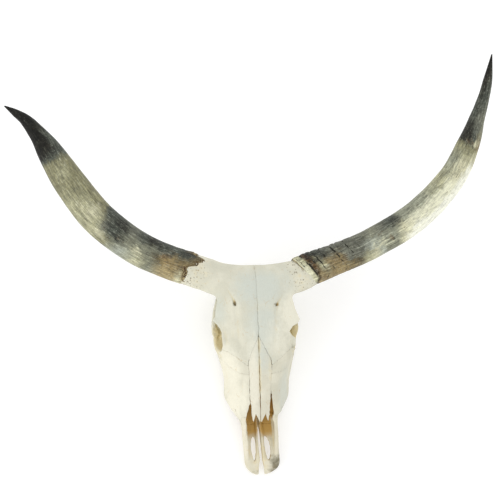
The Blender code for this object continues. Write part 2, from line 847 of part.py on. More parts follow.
def premaxilla_bone(skull, side, group):
    """Part one premaxilla from the skull."""
    behind = shifted(PREMAXILLA_SUTURE, -0.5 * SUTURE_GAP)
    outline = behind + list(BEFORE_THE_NOSE)
    inner = side * 0.5 * SUTURE_GAP
    block = side_block("region", outline, inner, side * FACE_HALF_WIDTH, group)
    piece = split(skull, block, "premaxilla", group)
    keep_largest(piece)
    return piece


def cranium_bone(skull, group):
    """Part the cranium with its horn cores from the face."""
    outline = shifted(MAXILLA_SUTURE, 0.5 * SUTURE_GAP) + list(BEHIND_THE_SKULL)
    block = side_block("region", outline, -SKULL_REACH, SKULL_REACH, group)
    piece = split(skull, block, "cranium", group)
    combine(piece, [zygomatic_space(-1, group), zygomatic_space(1, group)], "DIFFERENCE")
    keep_largest(piece)
    return piece


def centre_over_origin(rest, group):
    """Move the resting empty so that the box of all the pieces is centred over the origin."""
    bpy.context.view_layer.update()
    pieces = [obj for obj in group.objects if obj.type == "MESH"]
    corners = [piece.matrix_world @ vert.co for piece in pieces for vert in piece.data.vertices]
    for axis in (0, 1):
        low = min(corner[axis] for corner in corners)
        high = max(corner[axis] for corner in corners)
        rest.location[axis] -= 0.5 * (low + high)


def build():
    """Model the skull whole, part it into bones, and lay it down."""
    clear_scene()
    parts = collection(PART_NAME)
    workshop = collection("workshop")
    skull = whole_skull(workshop)
    rest = resting_empty(parts)

    forehead = material("bone_forehead", BONE_FOREHEAD, BONE_ROUGHNESS)
    cream = material("bone_cream", BONE_CREAM, BONE_ROUGHNESS)
    nasal = material("bone_nasal", BONE_NASAL, BONE_ROUGHNESS)
    nose = material("bone_nose", BONE_NOSE, BONE_ROUGHNESS)
    horn = material("horn", HORN_OLIVE, HORN_ROUGHNESS)

    finish_piece(cranium_bone(skull, workshop), "cranium", forehead, rest, parts)
    for side, word in ((-1, "left"), (1, "right")):
        finish_piece(zygomatic_bone(skull, side, workshop), "zygomatic_" + word, cream, rest, parts)
        finish_piece(maxilla_bone(skull, side, workshop), "maxilla_" + word, cream, rest, parts)
        finish_piece(premaxilla_bone(skull, side, workshop), "premaxilla_" + word, nose, rest, parts)
        finish_piece(nasal_bone(side, workshop), "nasal_" + word, nasal, rest, parts)
    drop(skull)

    left = sheath("horn_left", HORN_LEFT, LEFT_RIM_POINT, LEFT_RIM_FACING, workshop)
    finish_piece(left, "horn_sheath_left", horn, rest, parts)
    right = sheath("horn_right", HORN_RIGHT, RIGHT_RIM_POINT, RIGHT_RIM_FACING, workshop)
    finish_piece(right, "horn_sheath_right", horn, rest, parts)
    centre_over_origin(rest, parts)
    bpy.data.collections.remove(workshop)


build()
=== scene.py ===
"""Looks of a long-horned cow skull, life size, lying face up on its cheek teeth and the back of its base.

The bones are sculpted in clay: a block of distances to the surface, to which rounded forms are added with
soft joins and from which hollows are carved. The block is in the frame of the face, in millimetres: X to
the side, Y up the forehead to the poll, Z out of the forehead. Each bone is then cut from the block along
its sutures, given a skin, and laid down as the skull rests. Horn sheaths and teeth are made by Geometry
Nodes.
"""

from __future__ import annotations

import logging
import math
from collections.abc import Callable, Sequence
from dataclasses import dataclass, field, replace
from enum import Enum
from functools import partial, reduce

import bmesh
import bpy
import numpy as np
from mathutils import Matrix, Vector


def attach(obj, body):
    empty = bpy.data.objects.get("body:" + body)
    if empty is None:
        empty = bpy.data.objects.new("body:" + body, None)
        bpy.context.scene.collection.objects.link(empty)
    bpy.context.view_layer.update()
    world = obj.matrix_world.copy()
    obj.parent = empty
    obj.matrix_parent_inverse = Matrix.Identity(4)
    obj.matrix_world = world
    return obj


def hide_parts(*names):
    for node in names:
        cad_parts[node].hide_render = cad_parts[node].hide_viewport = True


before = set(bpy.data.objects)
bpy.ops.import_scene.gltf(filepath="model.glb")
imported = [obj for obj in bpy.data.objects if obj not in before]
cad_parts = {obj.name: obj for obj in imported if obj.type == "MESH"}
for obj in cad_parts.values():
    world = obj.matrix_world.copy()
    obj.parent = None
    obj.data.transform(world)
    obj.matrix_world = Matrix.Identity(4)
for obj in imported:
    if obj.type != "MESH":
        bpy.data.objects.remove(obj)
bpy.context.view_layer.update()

log = logging.getLogger("skull")

Array = np.ndarray
Point = tuple[float, float, float]
Colour = tuple[float, float, float]
Outline = tuple[tuple[float, float], ...]
Mesh = bpy.types.Mesh
Piece = bpy.types.Object
Material = bpy.types.Material
Tree = bpy.types.NodeTree
Node = bpy.types.Node
Socket = bpy.types.NodeSocket

MM = 0.001
CELL = 1.5
TINY = 1e-6
EMPTY = 40.0  # distance to the surface that empty clay starts with
MARGIN = 6.0  # how far past its fillet a form still changes the clay

# How the skull lies: the face slopes up to the poll, and the zero point hangs over the floor
REST_SLOPE = math.radians(18.4)
REST_TURN = Matrix.Rotation(REST_SLOPE, 3, "X")
ZERO_POINT = (-1.752, 1.207, 225.8)
# which of the eight corners of a grid cell, as steps along X, Y and Z
CORNERS = [(number & 1, number >> 1 & 1, number >> 2) for number in range(8)]


def lay_down(points: Array) -> Array:
    """Turn points of the face frame into places of the resting skull.

    Args:
        points: Rows of X, Y, Z in millimetres.

    Returns:
        Rows of X, Y, Z in metres.
    """
    return (points @ np.array(REST_TURN).T + np.array(ZERO_POINT)) * MM


def smooth_line(knots: Sequence[Sequence[float]], steps: int, closed: bool = False) -> Array:
    """Read points from a Catmull-Rom curve.

    Args:
        knots: Points of any dimension that the curve goes through.
        steps: How many points to read in each span.
        closed: Whether the curve ends where it begins.

    Returns:
        The points, one in each row.
    """
    table = np.asarray(knots, float)
    padded = np.vstack([table[-1], table, table[:2]] if closed else [table[0], table, table[-1]])
    t = (np.arange(steps) / steps)[:, None, None]
    a, b, c, d = (padded[start:len(padded) - 3 + start] for start in range(4))
    bend, twist = 2 * a - 5 * b + 4 * c - d, 3 * b - a - 3 * c + d
    curve = 0.5 * (2 * b + (c - a) * t + bend * t ** 2 + twist * t ** 3)
    points = curve.transpose(1, 0, 2).reshape(-1, table.shape[1])
    return points if closed else np.vstack([points, table[-1]])


def soft_min(first: Array, second: Array, blend: float) -> Array:
    """Join two distances with a fillet of about the given width."""
    near = np.maximum(blend - np.abs(first - second), 0.0) / blend
    return np.minimum(first, second) - near * near * blend * 0.25


@dataclass(frozen=True)
class Grain:
    """Smooth noise between -1 and 1 that is the same on each run.

    Attributes:
        seed: Which noise.
        size: Millimetres from one lump to the next.
        period: Lumps along each axis before the noise repeats.
    """

    seed: int
    size: float
    period: int = 32

    def at(self, x: Array, y: Array, z: Array) -> Array:
        """Read the noise.

        Args:
            x: Places along X in the face frame, of shapes that broadcast together.
            y: Places along Y.
            z: Places along Z.

        Returns:
            The noise at each place.
        """
        lattice = np.random.default_rng(self.seed).uniform(-1.0, 1.0, (self.period,) * 3)
        places = [np.asarray(axis, float) / self.size for axis in (x, y, z)]
        whole = [np.floor(place).astype(int) for place in places]
        parts = [place - np.floor(place) for place in places]
        shares = [part * part * (3.0 - 2.0 * part) for part in parts]
        total = 0.0
        for steps in CORNERS:
            index = tuple((base + step) % self.period for base, step in zip(whole, steps))
            weight = math.prod(share if step else 1.0 - share for share, step in zip(shares, steps))
            total = total + lattice[index] * weight
        return total


class Form:
    """A solid that can be added to the clay or carved from it.

    Each kind has reach for the box that holds it, distance for how far outside its surface points lie, and,
    where it comes in pairs, mirrored for the one of a side: -1 for the left and 1 for the right.
    """

    def reach(self) -> tuple[Array, Array]:
        """Return the lowest and the highest corner of the form.

        Returns:
            The two corners.
        """
        raise NotImplementedError

    def distance(self, x: Array, y: Array, z: Array) -> Array:
        """Return how far outside its surface each point lies.

        Args:
            x: Places along X, of shapes that broadcast together.
            y: Places along Y.
            z: Places along Z.

        Returns:
            The distances in millimetres, negative inside.
        """
        raise NotImplementedError


@dataclass(frozen=True)
class Ball(Form):
    """An ellipsoid with its half sizes and its turn about X, Y and Z in radians."""

    centre: Point
    radii: Point
    turn: Point = (0.0, 0.0, 0.0)

    def reach(self) -> tuple[Array, Array]:
        """Return the corners of a box round the ball."""
        size = max(self.radii)
        centre = np.array(self.centre)
        return centre - size, centre + size

    def distance(self, x: Array, y: Array, z: Array) -> Array:
        """Return how far outside its surface each point lies."""
        turn = (Matrix.Rotation(self.turn[2], 3, "Z") @ Matrix.Rotation(self.turn[1], 3, "Y")
                @ Matrix.Rotation(self.turn[0], 3, "X"))
        offset = (x - self.centre[0], y - self.centre[1], z - self.centre[2])
        near, far = 0.0, 0.0
        for axis, radius in enumerate(self.radii):
            along = sum(turn[row][axis] * offset[row] for row in range(3))
            near = near + (along / radius) ** 2
            far = far + (along / radius ** 2) ** 2
        near = np.sqrt(near)
        return near * (near - 1.0) / np.maximum(np.sqrt(far), TINY)

    def mirrored(self, side: int) -> Ball:
        """Return the ball, on the left for side -1."""
        x, y, z = self.centre
        about_x, about_y, about_z = self.turn
        return Ball((side * x, y, z), self.radii, (about_x, side * about_y, side * about_z))


@dataclass(frozen=True)
class Tube(Form):
    """A round bar through knots of X, Y, Z and radius."""

    knots: tuple[tuple[float, float, float, float], ...]
    closed: bool = False
    steps: int = 5

    def line(self) -> Array:
        """Return the bar's middle line, with radii."""
        points = smooth_line(self.knots, self.steps, self.closed)
        return np.vstack([points, points[0]]) if self.closed else points

    def reach(self) -> tuple[Array, Array]:
        """Return the corners of a box round the bar."""
        line = self.line()
        return ((line[:, :3] - line[:, 3:]).min(axis=0), (line[:, :3] + line[:, 3:]).max(axis=0))

    def distance(self, x: Array, y: Array, z: Array) -> Array:
        """Return how far outside its surface each point lies."""
        line = self.line()
        nearest = None
        for start, end in zip(line, line[1:]):
            run = end[:3] - start[:3]
            offset = (x - start[0], y - start[1], z - start[2])
            t = (offset[0] * run[0] + offset[1] * run[1] + offset[2] * run[2]) / max(run @ run, 1e-9)
            t = np.clip(t, 0.0, 1.0)
            square = sum((gap - t * step) ** 2 for gap, step in zip(offset, run))
            here = np.sqrt(square) - (start[3] + t * (end[3] - start[3]))
            nearest = here if nearest is None else np.minimum(nearest, here)
        return nearest

    def mirrored(self, side: int) -> Tube:
        """Return the bar, on the left for side -1."""
        return replace(self, knots=tuple((side * knot[0], *knot[1:]) for knot in self.knots))


def outline_distance(outline: Array, across: Array, along: Array) -> Array:
    """Measure how far outside a closed outline points of its plane lie.

    Args:
        outline: The outline's points, one in each row.
        across: First coordinates, of a shape that broadcasts with along.
        along: Second coordinates.

    Returns:
        Distances, negative inside.
    """
    nearest = np.full(np.broadcast(across, along).shape, 1e9)
    inside = np.zeros(nearest.shape, bool)
    for (u0, v0), (u1, v1) in zip(outline, np.roll(outline, -1, axis=0)):
        run_u, run_v = u1 - u0, v1 - v0
        gap_u, gap_v = across - u0, along - v0
        t = np.clip((gap_u * run_u + gap_v * run_v) / max(run_u ** 2 + run_v ** 2, 1e-9), 0.0, 1.0)
        np.minimum(nearest, (gap_u - t * run_u) ** 2 + (gap_v - t * run_v) ** 2, out=nearest)
        if v0 != v1:
            crossing = (v0 > along) != (v1 > along)
            inside ^= crossing & (across < u0 + gap_v * run_u / run_v)
    return np.where(inside, -1.0, 1.0) * np.sqrt(nearest)


@dataclass(frozen=True)
class Loft(Form):
    """A solid through sections that are the same on the left and on the right.

    Attributes:
        stations: Rows of Y, top Z, X and Z of the shoulder, side and lower edge, bottom Z, and where it leans
            how far back each millimetre up takes it.
        end_round: How softly the ends are rounded.
        ring_steps: Points for each span of a section.
        row_step: Millimetres from one section to the next.
        lean_centre: The Z at which a leaning section stands at its Y.
    """

    stations: tuple[tuple[float, ...], ...]
    end_round: float = 5.0
    ring_steps: int = 7
    row_step: float = 3.0
    lean_centre: float = -120.0

    def ring(self, station: Sequence[float]) -> Array:
        """Return a closed section as rows of X and Z."""
        _, top, *right, bottom = station[:9]
        right = list(zip(right[::2], right[1::2]))
        left = [(-x, z) for x, z in reversed(right)]
        return smooth_line([(0.0, top), *right, (0.0, bottom), *left], self.ring_steps, closed=True)

    def rows(self) -> tuple[Array, Array, Array]:
        """Return the Y, the leans and the outlines of closely spaced sections.

        Returns:
            One Y and one lean for each section, and rows of X and Z for each.
        """
        leans = [sum(station[9:]) for station in self.stations]
        rows = smooth_line([(station[0], lean, *self.ring(station).ravel())
                            for station, lean in zip(self.stations, leans)], 8)
        rows = rows[np.argsort(rows[:, 0])]
        count = max(2, int((rows[-1, 0] - rows[0, 0]) / self.row_step))
        wanted = np.linspace(rows[0, 0], rows[-1, 0], count)
        even = np.stack([np.interp(wanted, rows[:, 0], column) for column in rows.T], axis=1)
        return wanted, even[:, 1], even[:, 2:].reshape(count, -1, 2)

    def reach(self) -> tuple[Array, Array]:
        """Return the corners of a box round the loft."""
        y, lean, outlines = self.rows()
        drop = np.abs(lean).max() * np.abs(outlines[:, :, 1] - self.lean_centre).max()
        low = (outlines[:, :, 0].min(), y[0] - drop, outlines[:, :, 1].min())
        high = (outlines[:, :, 0].max(), y[-1] + drop, outlines[:, :, 1].max())
        return np.array(low), np.array(high)

    def distance(self, x: Array, y: Array, z: Array) -> Array:
        """Return how far outside its surface each point lies, measured in its section."""
        row_y, row_lean, outlines = self.rows()
        half, mirror = np.unique(np.round(np.abs(x.ravel()), 3), return_inverse=True)
        flat = np.stack([outline_distance(ring, half[:, None], z.ravel()[None, :]) for ring in outlines])
        y_line, z_line = y.ravel()[:, None], z.ravel()[None, :]
        y_line = y_line - np.interp(y_line, row_y, row_lean) * (z_line - self.lean_centre)
        place = (y_line - row_y[0]) / (row_y[-1] - row_y[0]) * (len(row_y) - 1)
        spot = np.clip(place, 0, len(row_y) - 1.001)
        below = spot.astype(int)
        share = (spot - below)[None]
        columns = np.arange(z.size)[None, None, :]
        sides = mirror.reshape(-1)[:, None, None]
        behind, ahead = flat[below[None], sides, columns], flat[below[None] + 1, sides, columns]
        section = (1.0 - share) * behind + share * ahead
        beyond = np.maximum(row_y[0] - y_line, y_line - row_y[-1])[None]
        return -soft_min(-section, -np.broadcast_to(beyond, section.shape), self.end_round)


@dataclass(frozen=True)
class Wall(Form):
    """A standing plate: rows of Y, upper edge X and Z, lower edge X and Z, and thickness."""

    rows: tuple[tuple[float, float, float, float, float, float], ...]
    end_round: float = 4.0

    def reach(self) -> tuple[Array, Array]:
        """Return the corners of a box round the plate."""
        table = np.array(self.rows)
        thick = table[:, 5].max()
        low = (table[:, [1, 3]].min() - thick, table[:, 0].min(), table[:, [2, 4]].min() - thick)
        high = (table[:, [1, 3]].max() + thick, table[:, 0].max(), table[:, [2, 4]].max() + thick)
        return np.array(low), np.array(high)

    def distance(self, x: Array, y: Array, z: Array) -> Array:
        """Return how far outside its surface each point lies."""
        table = smooth_line(self.rows, 6)
        table = table[np.argsort(table[:, 0])]
        top_x, top_z, low_x, low_z, thick = (np.interp(y, table[:, 0], column) for column in table[:, 1:].T)
        run_x, run_z = low_x - top_x, low_z - top_z
        t = ((x - top_x) * run_x + (z - top_z) * run_z) / np.maximum(run_x ** 2 + run_z ** 2, 1e-6)
        t = np.clip(t, 0.0, 1.0)
        plate = np.hypot(x - top_x - t * run_x, z - top_z - t * run_z) - 0.5 * thick
        beyond = np.maximum(table[0, 0] - y, y - table[-1, 0])
        return -soft_min(-plate, -np.broadcast_to(beyond, plate.shape), self.end_round)

    def mirrored(self, side: int) -> Wall:
        """Return the plate, on the left for side -1."""
        rows = tuple((row[0], side * row[1], row[2], side * row[3], row[4], row[5]) for row in self.rows)
        return replace(self, rows=rows)


@dataclass(frozen=True)
class FaceCut(Form):
    """An outline of the face plane (X, Y) that goes straight in between two heights."""

    outline: Outline
    low: float
    high: float
    edge_round: float = 1.0
    wander: float = 0.0

    def reach(self) -> tuple[Array, Array]:
        """Return the corners of a box round the cut."""
        table = np.array(self.outline)
        return np.array([*table.min(axis=0), self.low]), np.array([*table.max(axis=0), self.high])

    def distance(self, x: Array, y: Array, z: Array) -> Array:
        """Return how far outside its surface each point lies."""
        flat = outline_distance(np.array(self.outline), x, y)
        if self.wander:
            flat = flat + self.wander * Grain(41, 7.0).at(x, y, 0.0)
        depth = np.maximum(self.low - z, z - self.high)
        flat, depth = np.broadcast_arrays(flat, depth)
        return -soft_min(-flat, -depth, self.edge_round)

    def mirrored(self, side: int) -> FaceCut:
        """Return the cut, on the left for side -1."""
        return replace(self, outline=tuple((side * x, y) for x, y in self.outline))


@dataclass
class Clay:
    """A block of distances to the surface, on a grid in the face frame."""

    low: Array
    high: Array
    cell: float = CELL
    field: Array | None = None

    def __post_init__(self) -> None:
        """Set up the empty block."""
        counts = np.ceil((self.high - self.low) / self.cell).astype(int) + 1
        self.low = self.low.astype(float)
        if self.field is None:
            self.field = np.full(counts, EMPTY, np.float32)

    def axes(self, window: tuple[slice, ...] | None = None) -> tuple[Array, Array, Array]:
        """Return the grid's X, Y and Z as arrays that broadcast together.

        Args:
            window: Part of the grid; all of it if there is none.

        Returns:
            The three arrays.
        """
        window = window or tuple(slice(0, count) for count in self.field.shape)
        lines = (low + self.cell * np.arange(part.start, part.stop) for low, part in zip(self.low, window))
        return np.ix_(*lines)

    def window(self, low: Array, high: Array, margin: float) -> tuple[slice, ...]:
        """Return the part of the grid within a margin of a box.

        Args:
            low: Lowest corner of the box.
            high: Highest corner.
            margin: How far past the box to go.

        Returns:
            The slices of the grid's array.
        """
        parts = []
        for axis, count in enumerate(self.field.shape):
            first = int(np.floor((low[axis] - margin - self.low[axis]) / self.cell))
            last = int(np.ceil((high[axis] + margin - self.low[axis]) / self.cell)) + 1
            parts.append(slice(max(first, 0), max(min(last, count), 1)))
        return tuple(parts)

    def add(self, form: Form, blend: float = 4.0) -> None:
        """Add a form with a fillet round it."""
        window = self.window(*form.reach(), blend + MARGIN)
        self.field[window] = soft_min(self.field[window], form.distance(*self.axes(window)), blend)

    def carve(self, form: Form, blend: float = 2.0, rough: Grain | None = None, depth: float = 0.0) -> None:
        """Carve a form out.

        Args:
            form: The form.
            blend: How softly its edge is rounded.
            rough: Noise that roughens its walls.
            depth: How far the noise moves them.
        """
        window = self.window(*form.reach(), blend + MARGIN)
        axes = self.axes(window)
        away = form.distance(*axes)
        if rough is not None:
            away = away + depth * rough.at(*axes)
        self.field[window] = -soft_min(-self.field[window], away, blend)

    def soften(self, passes: int) -> None:
        """Blur the distances a little, which rounds facets and joins.

        Args:
            passes: How often.
        """
        for _ in range(passes):
            for axis in range(3):
                lines = np.moveaxis(self.field, axis, 0)
                lines[1:-1] = 0.25 * (lines[:-2] + lines[2:]) + 0.5 * lines[1:-1]

    def read(self, points: Array, values: Array | None = None) -> Array:
        """Read the distances, or another grid of values, between the grid's points.

        Args:
            points: Rows of X, Y, Z in millimetres.
            values: The other grid.

        Returns:
            The value at each point.
        """
        values = self.field if values is None else values
        place = (points - self.low) / self.cell
        base = np.clip(np.floor(place).astype(int), 0, np.array(values.shape) - 2)
        share = np.clip(place - base, 0.0, 1.0)
        total = 0.0
        for steps in CORNERS:
            weight = np.prod(np.where(steps, share, 1.0 - share), axis=1)
            total = total + weight * values[tuple((base + steps).T)]
        return total

    def slope(self, points: Array) -> Array:
        """Return the direction out of the surface at points.

        Args:
            points: Rows of X, Y, Z in millimetres.

        Returns:
            A unit vector for each point.
        """
        steps = self.cell * np.eye(3)
        slope = np.stack([self.read(points + step) - self.read(points - step) for step in steps], axis=1)
        return slope / np.maximum(np.linalg.norm(slope, axis=1, keepdims=True), 1e-9)

    def skin(self) -> tuple[Array, Array]:
        """Wrap the clay in quads: a point in each grid cell that the surface crosses.

        Returns:
            Points in millimetres, and quads of point numbers that face outwards.
        """
        inside = self.field < 0.0
        shape = tuple(size - 1 for size in inside.shape)
        count = np.zeros(shape, np.int8)
        for corner in CORNERS:
            count += inside[tuple(slice(step, step + size) for step, size in zip(corner, shape))]
        cells = np.argwhere((count > 0) & (count < 8))
        number = np.full(shape, -1, np.int64)
        number[tuple(cells.T)] = np.arange(len(cells))
        points = self.low + self.cell * (cells + self.crossings(cells))
        quads = []
        for axis in range(3):
            u, v = (axis + 1) % 3, (axis + 2) % 3
            edges = np.argwhere(np.diff(inside, axis=axis))
            beside = edges[:, (u, v)]
            edges = edges[np.all((beside > 0) & (beside < (shape[u], shape[v])), axis=1)]
            ring = []
            for back in ((1, 1), (0, 1), (0, 0), (1, 0)):
                around = edges.copy()
                around[:, (u, v)] -= back
                ring.append(number[tuple(around.T)])
            ring = np.stack(ring, axis=1)
            quads.append(np.where(inside[tuple(edges.T)][:, None], ring, ring[:, ::-1]))
        return points, np.concatenate(quads)

    def crossings(self, cells: Array) -> Array:
        """Find where the surface crosses grid cells, as the mean over their edges.

        Args:
            cells: Rows of cell numbers.

        Returns:
            Rows of places, in shares of a cell.
        """
        total, crossings = np.zeros((len(cells), 3)), np.zeros(len(cells))
        for first in np.ndindex(2, 2, 2):
            for axis in range(3):
                if first[axis]:
                    continue
                second = first + np.eye(3, dtype=int)[axis]
                start, end = (self.field[tuple((cells + step).T)].astype(float) for step in (first, second))
                crossed = (start < 0.0) != (end < 0.0)
                place = np.tile(np.array(first, float), (len(cells), 1))
                place[:, axis] += np.where(crossed, start / np.where(crossed, start - end, 1.0), 0.0)
                total += place * crossed[:, None]
                crossings += crossed
        return total / crossings[:, None]


def mesh_of(name: str, points: Array, faces: Array) -> Mesh:
    """Make a smooth mesh.

    Args:
        name: Its name.
        points: Rows of points in metres.
        faces: Rows of point numbers.

    Returns:
        The mesh.
    """
    mesh = bpy.data.meshes.new(name)
    mesh.vertices.add(len(points))
    mesh.vertices.foreach_set("co", points.astype(np.float32).ravel())
    mesh.loops.add(faces.size)
    mesh.loops.foreach_set("vertex_index", faces.astype(np.int32).ravel())
    mesh.polygons.add(len(faces))
    mesh.polygons.foreach_set("loop_start", np.arange(0, faces.size, faces.shape[1], dtype=np.int32))
    mesh.update(calc_edges=True)
    mesh.shade_smooth()
    return mesh


def add_object(data: bpy.types.ID) -> Piece:
    """Link new data to the scene as an object of the same name.

    Args:
        data: A mesh or a light.

    Returns:
        The object.
    """
    piece = bpy.data.objects.new(data.name, data)
    bpy.context.scene.collection.objects.link(piece)
    return piece


def paint(mesh: Mesh, name: str, values: Array) -> None:
    """Store a number or a vector for each point of a mesh, for its material or tree to read.

    Args:
        mesh: The mesh.
        name: Name of the attribute.
        values: A value or a row for each point.
    """
    kind, slot = ("FLOAT_VECTOR", "vector") if values.ndim > 1 else ("FLOAT", "value")
    layer = mesh.attributes.new(name, kind, "POINT")
    layer.data.foreach_set(slot, np.ascontiguousarray(values, np.float32).ravel())


class Side(Enum):
    """Which side of the skull, as the photograph shows it."""

    LEFT = -1
    RIGHT = 1

    @property
    def word(self) -> str:
        """Return the side's word in piece names."""
        return self.name.lower()


# --- The skull's forms, in millimetres in the frame of the face -------------------------------------------

# the lofts are given by their right half
ROOF = Loft((
    (-2, -54, 52, -56, 82, -64, 56, -76, -78),
    (-8, -42, 60, -44, 90, -62, 64, -86, -90),
    (-22, -31, 64, -34, 97, -62, 70, -94, -96),
    (-45, -19, 64, -24, 104, -60, 72, -92, -90),
    (-65, -12, 62, -18, 98, -53, 68, -82, -86),
    (-85, -7, 60, -14, 93, -47, 62, -72, -80),
    (-110, -3, 62, -12, 98, -45, 65, -66, -80),
    (-130, -1, 66, -13, 104, -48, 70, -66, -80),
    (-145, 0, 68, -14, 108, -52, 74, -68, -80),
    (-165, 0, 64, -12, 93, -40, 66, -56, -80),
    (-190, 0, 60, -11, 86, -36, 62, -55, -80),
    (-215, 0, 60, -11, 87, -42, 60, -70, -80),
    (-235, -1, 58, -12, 84, -50, 56, -70, -80),
))
BRAINCASE = Loft((
    (-24, -62, 44, -68, 72, -112, 50, -160, -182, 0.20),
    (-36, -54, 52, -64, 80, -116, 56, -166, -190, 0.20),
    (-56, -50, 54, -62, 80, -118, 52, -166, -188, 0.10),
    (-76, -50, 54, -62, 64, -112, 42, -162, -182),
    (-100, -50, 52, -60, 56, -104, 34, -156, -174),
    (-130, -50, 50, -60, 50, -95, 28, -146, -166),
    (-160, -40, 46, -56, 42, -85, 28, -138, -156),
    (-200, -30, 44, -50, 40, -85, 32, -136, -148),
    (-222, -30, 40, -50, 38, -85, 32, -130, -142),
))
FACE = Loft((
    (-192, -8, 50, -20, 66, -92, 48, -136, -136),
    (-212, -1, 64, -16, 92, -86, 66, -146, -130),
    (-240, 0, 62, -14, 91, -86, 71, -138, -121),
    (-262, 0, 57, -13, 85, -85, 70, -130, -113),
    (-292, 0, 51, -12, 81, -81, 68, -121, -104),
    (-320, 0, 46, -11, 82, -77, 66, -112, -95),
    (-345, 0, 42, -11, 74, -71, 60, -104, -88),
    (-366, 0, 40, -12, 60, -66, 53, -96, -82),
    (-384, -1, 38, -14, 50, -60, 47, -88, -77),
    (-392, -6, 38, -20, 46, -60, 42, -80, -76),
))
NOSE_FLOOR = Loft((
    (-372, -66, 40, -66, 46, -71, 40, -80, -80),
    (-400, -62, 36, -62, 42.5, -67, 36, -75, -75),
    (-430, -56, 36, -56, 42, -61, 36, -68, -68),
    (-460, -49, 36, -49, 42, -54, 36, -61, -61),
    (-486, -42, 37, -42, 45, -48, 37, -55, -55),
    (-502, -39, 35, -39, 45, -45, 35, -52, -52),
    (-514, -39, 28, -39, 39, -44, 28, -50, -50),
    (-524, -41, 15, -41, 27, -44, 15, -48, -48),
    (-528, -42, 9, -42, 17, -44.5, 9, -47, -47),
), end_round=2.0)
NASAL_CAVITY = Loft((
    (-300, -30, 12, -32, 16, -46, 12, -58, -60),
    (-320, -10, 22, -12, 28, -44, 22, -66, -68),
    (-350, -8.5, 24, -10, 32, -44, 28, -66, -68),
    (-392, -8.5, 28, -10, 33.5, -40, 29, -62, -64),
    (-420, -8.5, 28, -10, 33, -36, 28, -56, -59),
    (-446, -8.5, 26, -10, 31, -34, 25, -50, -53),
))
BASE_OF_SKULL = Tube(((0, -48, -186, 18), (0, -90, -178, 19), (0, -140, -162, 14), (0, -190, -146, 12)))
NUCHAL_CREST = Tube((
    (-70, -46, -112, 7), (-46, -24, -84, 8), (0, -16, -72, 8), (46, -24, -84, 8), (70, -46, -112, 7),
))
OCCIPITAL_KNOB = Ball((0, -20, -104), (11, 9, 15))
HORN_CORES = (
    Tube((
        (-50, -46, -62, 38), (-92, -34, -66, 41), (-121, -22, -68, 41.8), (-152, -11, -68, 41.2),
        (-174, -3, -67, 39.5), (-200, 8, -63, 33),
    )),
    Tube((
        (50, -46, -62, 38), (94, -37.5, -66, 41), (125, -28.5, -68, 41), (154, -14, -68, 38.5),
        (200, 3, -64, 33),
    )),
)
ORBIT_RIMS = (
    Tube((
        (-101, -138, -50, 6.5), (-92, -156, -37, 5), (-88, -182, -33, 5.5), (-86, -205, -38, 6),
        (-87, -220, -58, 7.5), (-95, -213, -82, 7), (-102.5, -192, -90, 5.5), (-104.5, -167, -88, 5),
        (-104.5, -144, -72, 5.5),
    ), closed=True),
    Tube((
        (101, -145, -50, 6.5), (86, -155, -37, 5), (80, -170, -32, 5), (88, -186, -36, 6.5),
        (93, -198, -42, 7.5), (94, -213, -64, 7.5), (93, -211, -82, 7), (101, -192, -90, 5.5),
        (105, -167, -88, 5), (105, -150, -72, 5.5),
    ), closed=True),
)
# on both sides, given for the right, with their fillets: arch and ridge of the cheek, side wall of the nose,
# process beside the condyle, plate behind the palate, then the rounded masses round orbit, ear and base
PAIRED_FORMS: tuple[tuple[Form, float], ...] = (
    (Tube((
        (102, -172, -93, 9), (101, -142, -97, 7.5), (95, -118, -99, 6.5), (86, -94, -102, 8),
        (76, -70, -108, 11), (64, -56, -114, 14),
    )), 7.0),
    (Tube(((96, -205, -88, 9), (87, -240, -91, 8), (79, -285, -86, 7), (74, -322, -80, 6))), 9.0),
    (Wall((
        (-364, 40, -20, 49, -86, 12), (-384, 38, -20, 44.5, -78, 11), (-410, 37.5, -25, 42, -70, 10),
        (-440, 38, -32, 41.5, -62, 10), (-466, 38, -39, 41, -56, 10), (-490, 37, -43, 40, -51, 9),
    )), 4.0),
    (Tube(((58, -56, -148, 19), (57, -52, -176, 14), (54, -48, -204, 10), (51, -45, -232, 8))), 7.0),
    (Tube(((24, -165, -140, 8), (24, -180, -158, 5.5), (25, -205, -152, 6), (34, -222, -140, 8))), 5.0),
    (Ball((66, -226, -54), (13, 24, 32), (0, 0.2, 0)), 6.0),
    (Ball((71, -188, -116), (31, 46, 24)), 8.0),
    (Ball((26, -46, -191), (17, 22, 23), (0.3, 0, 0.35)), 4.0),
    (Ball((42, -86, -174), (13, 19, 19)), 4.0),
    (Ball((66, -66, -132), (15, 20, 26)), 8.0),
    (Ball((72, -330, -81), (7, 13, 9)), 8.0),
    (Ball((80, -200, -106), (21, 30, 22), (0.1, 0.3, 0)), 6.0),
)

ORBIT = Ball((101, -179, -61.5), (60, 38, 26.5), (0, -0.12, -0.15))
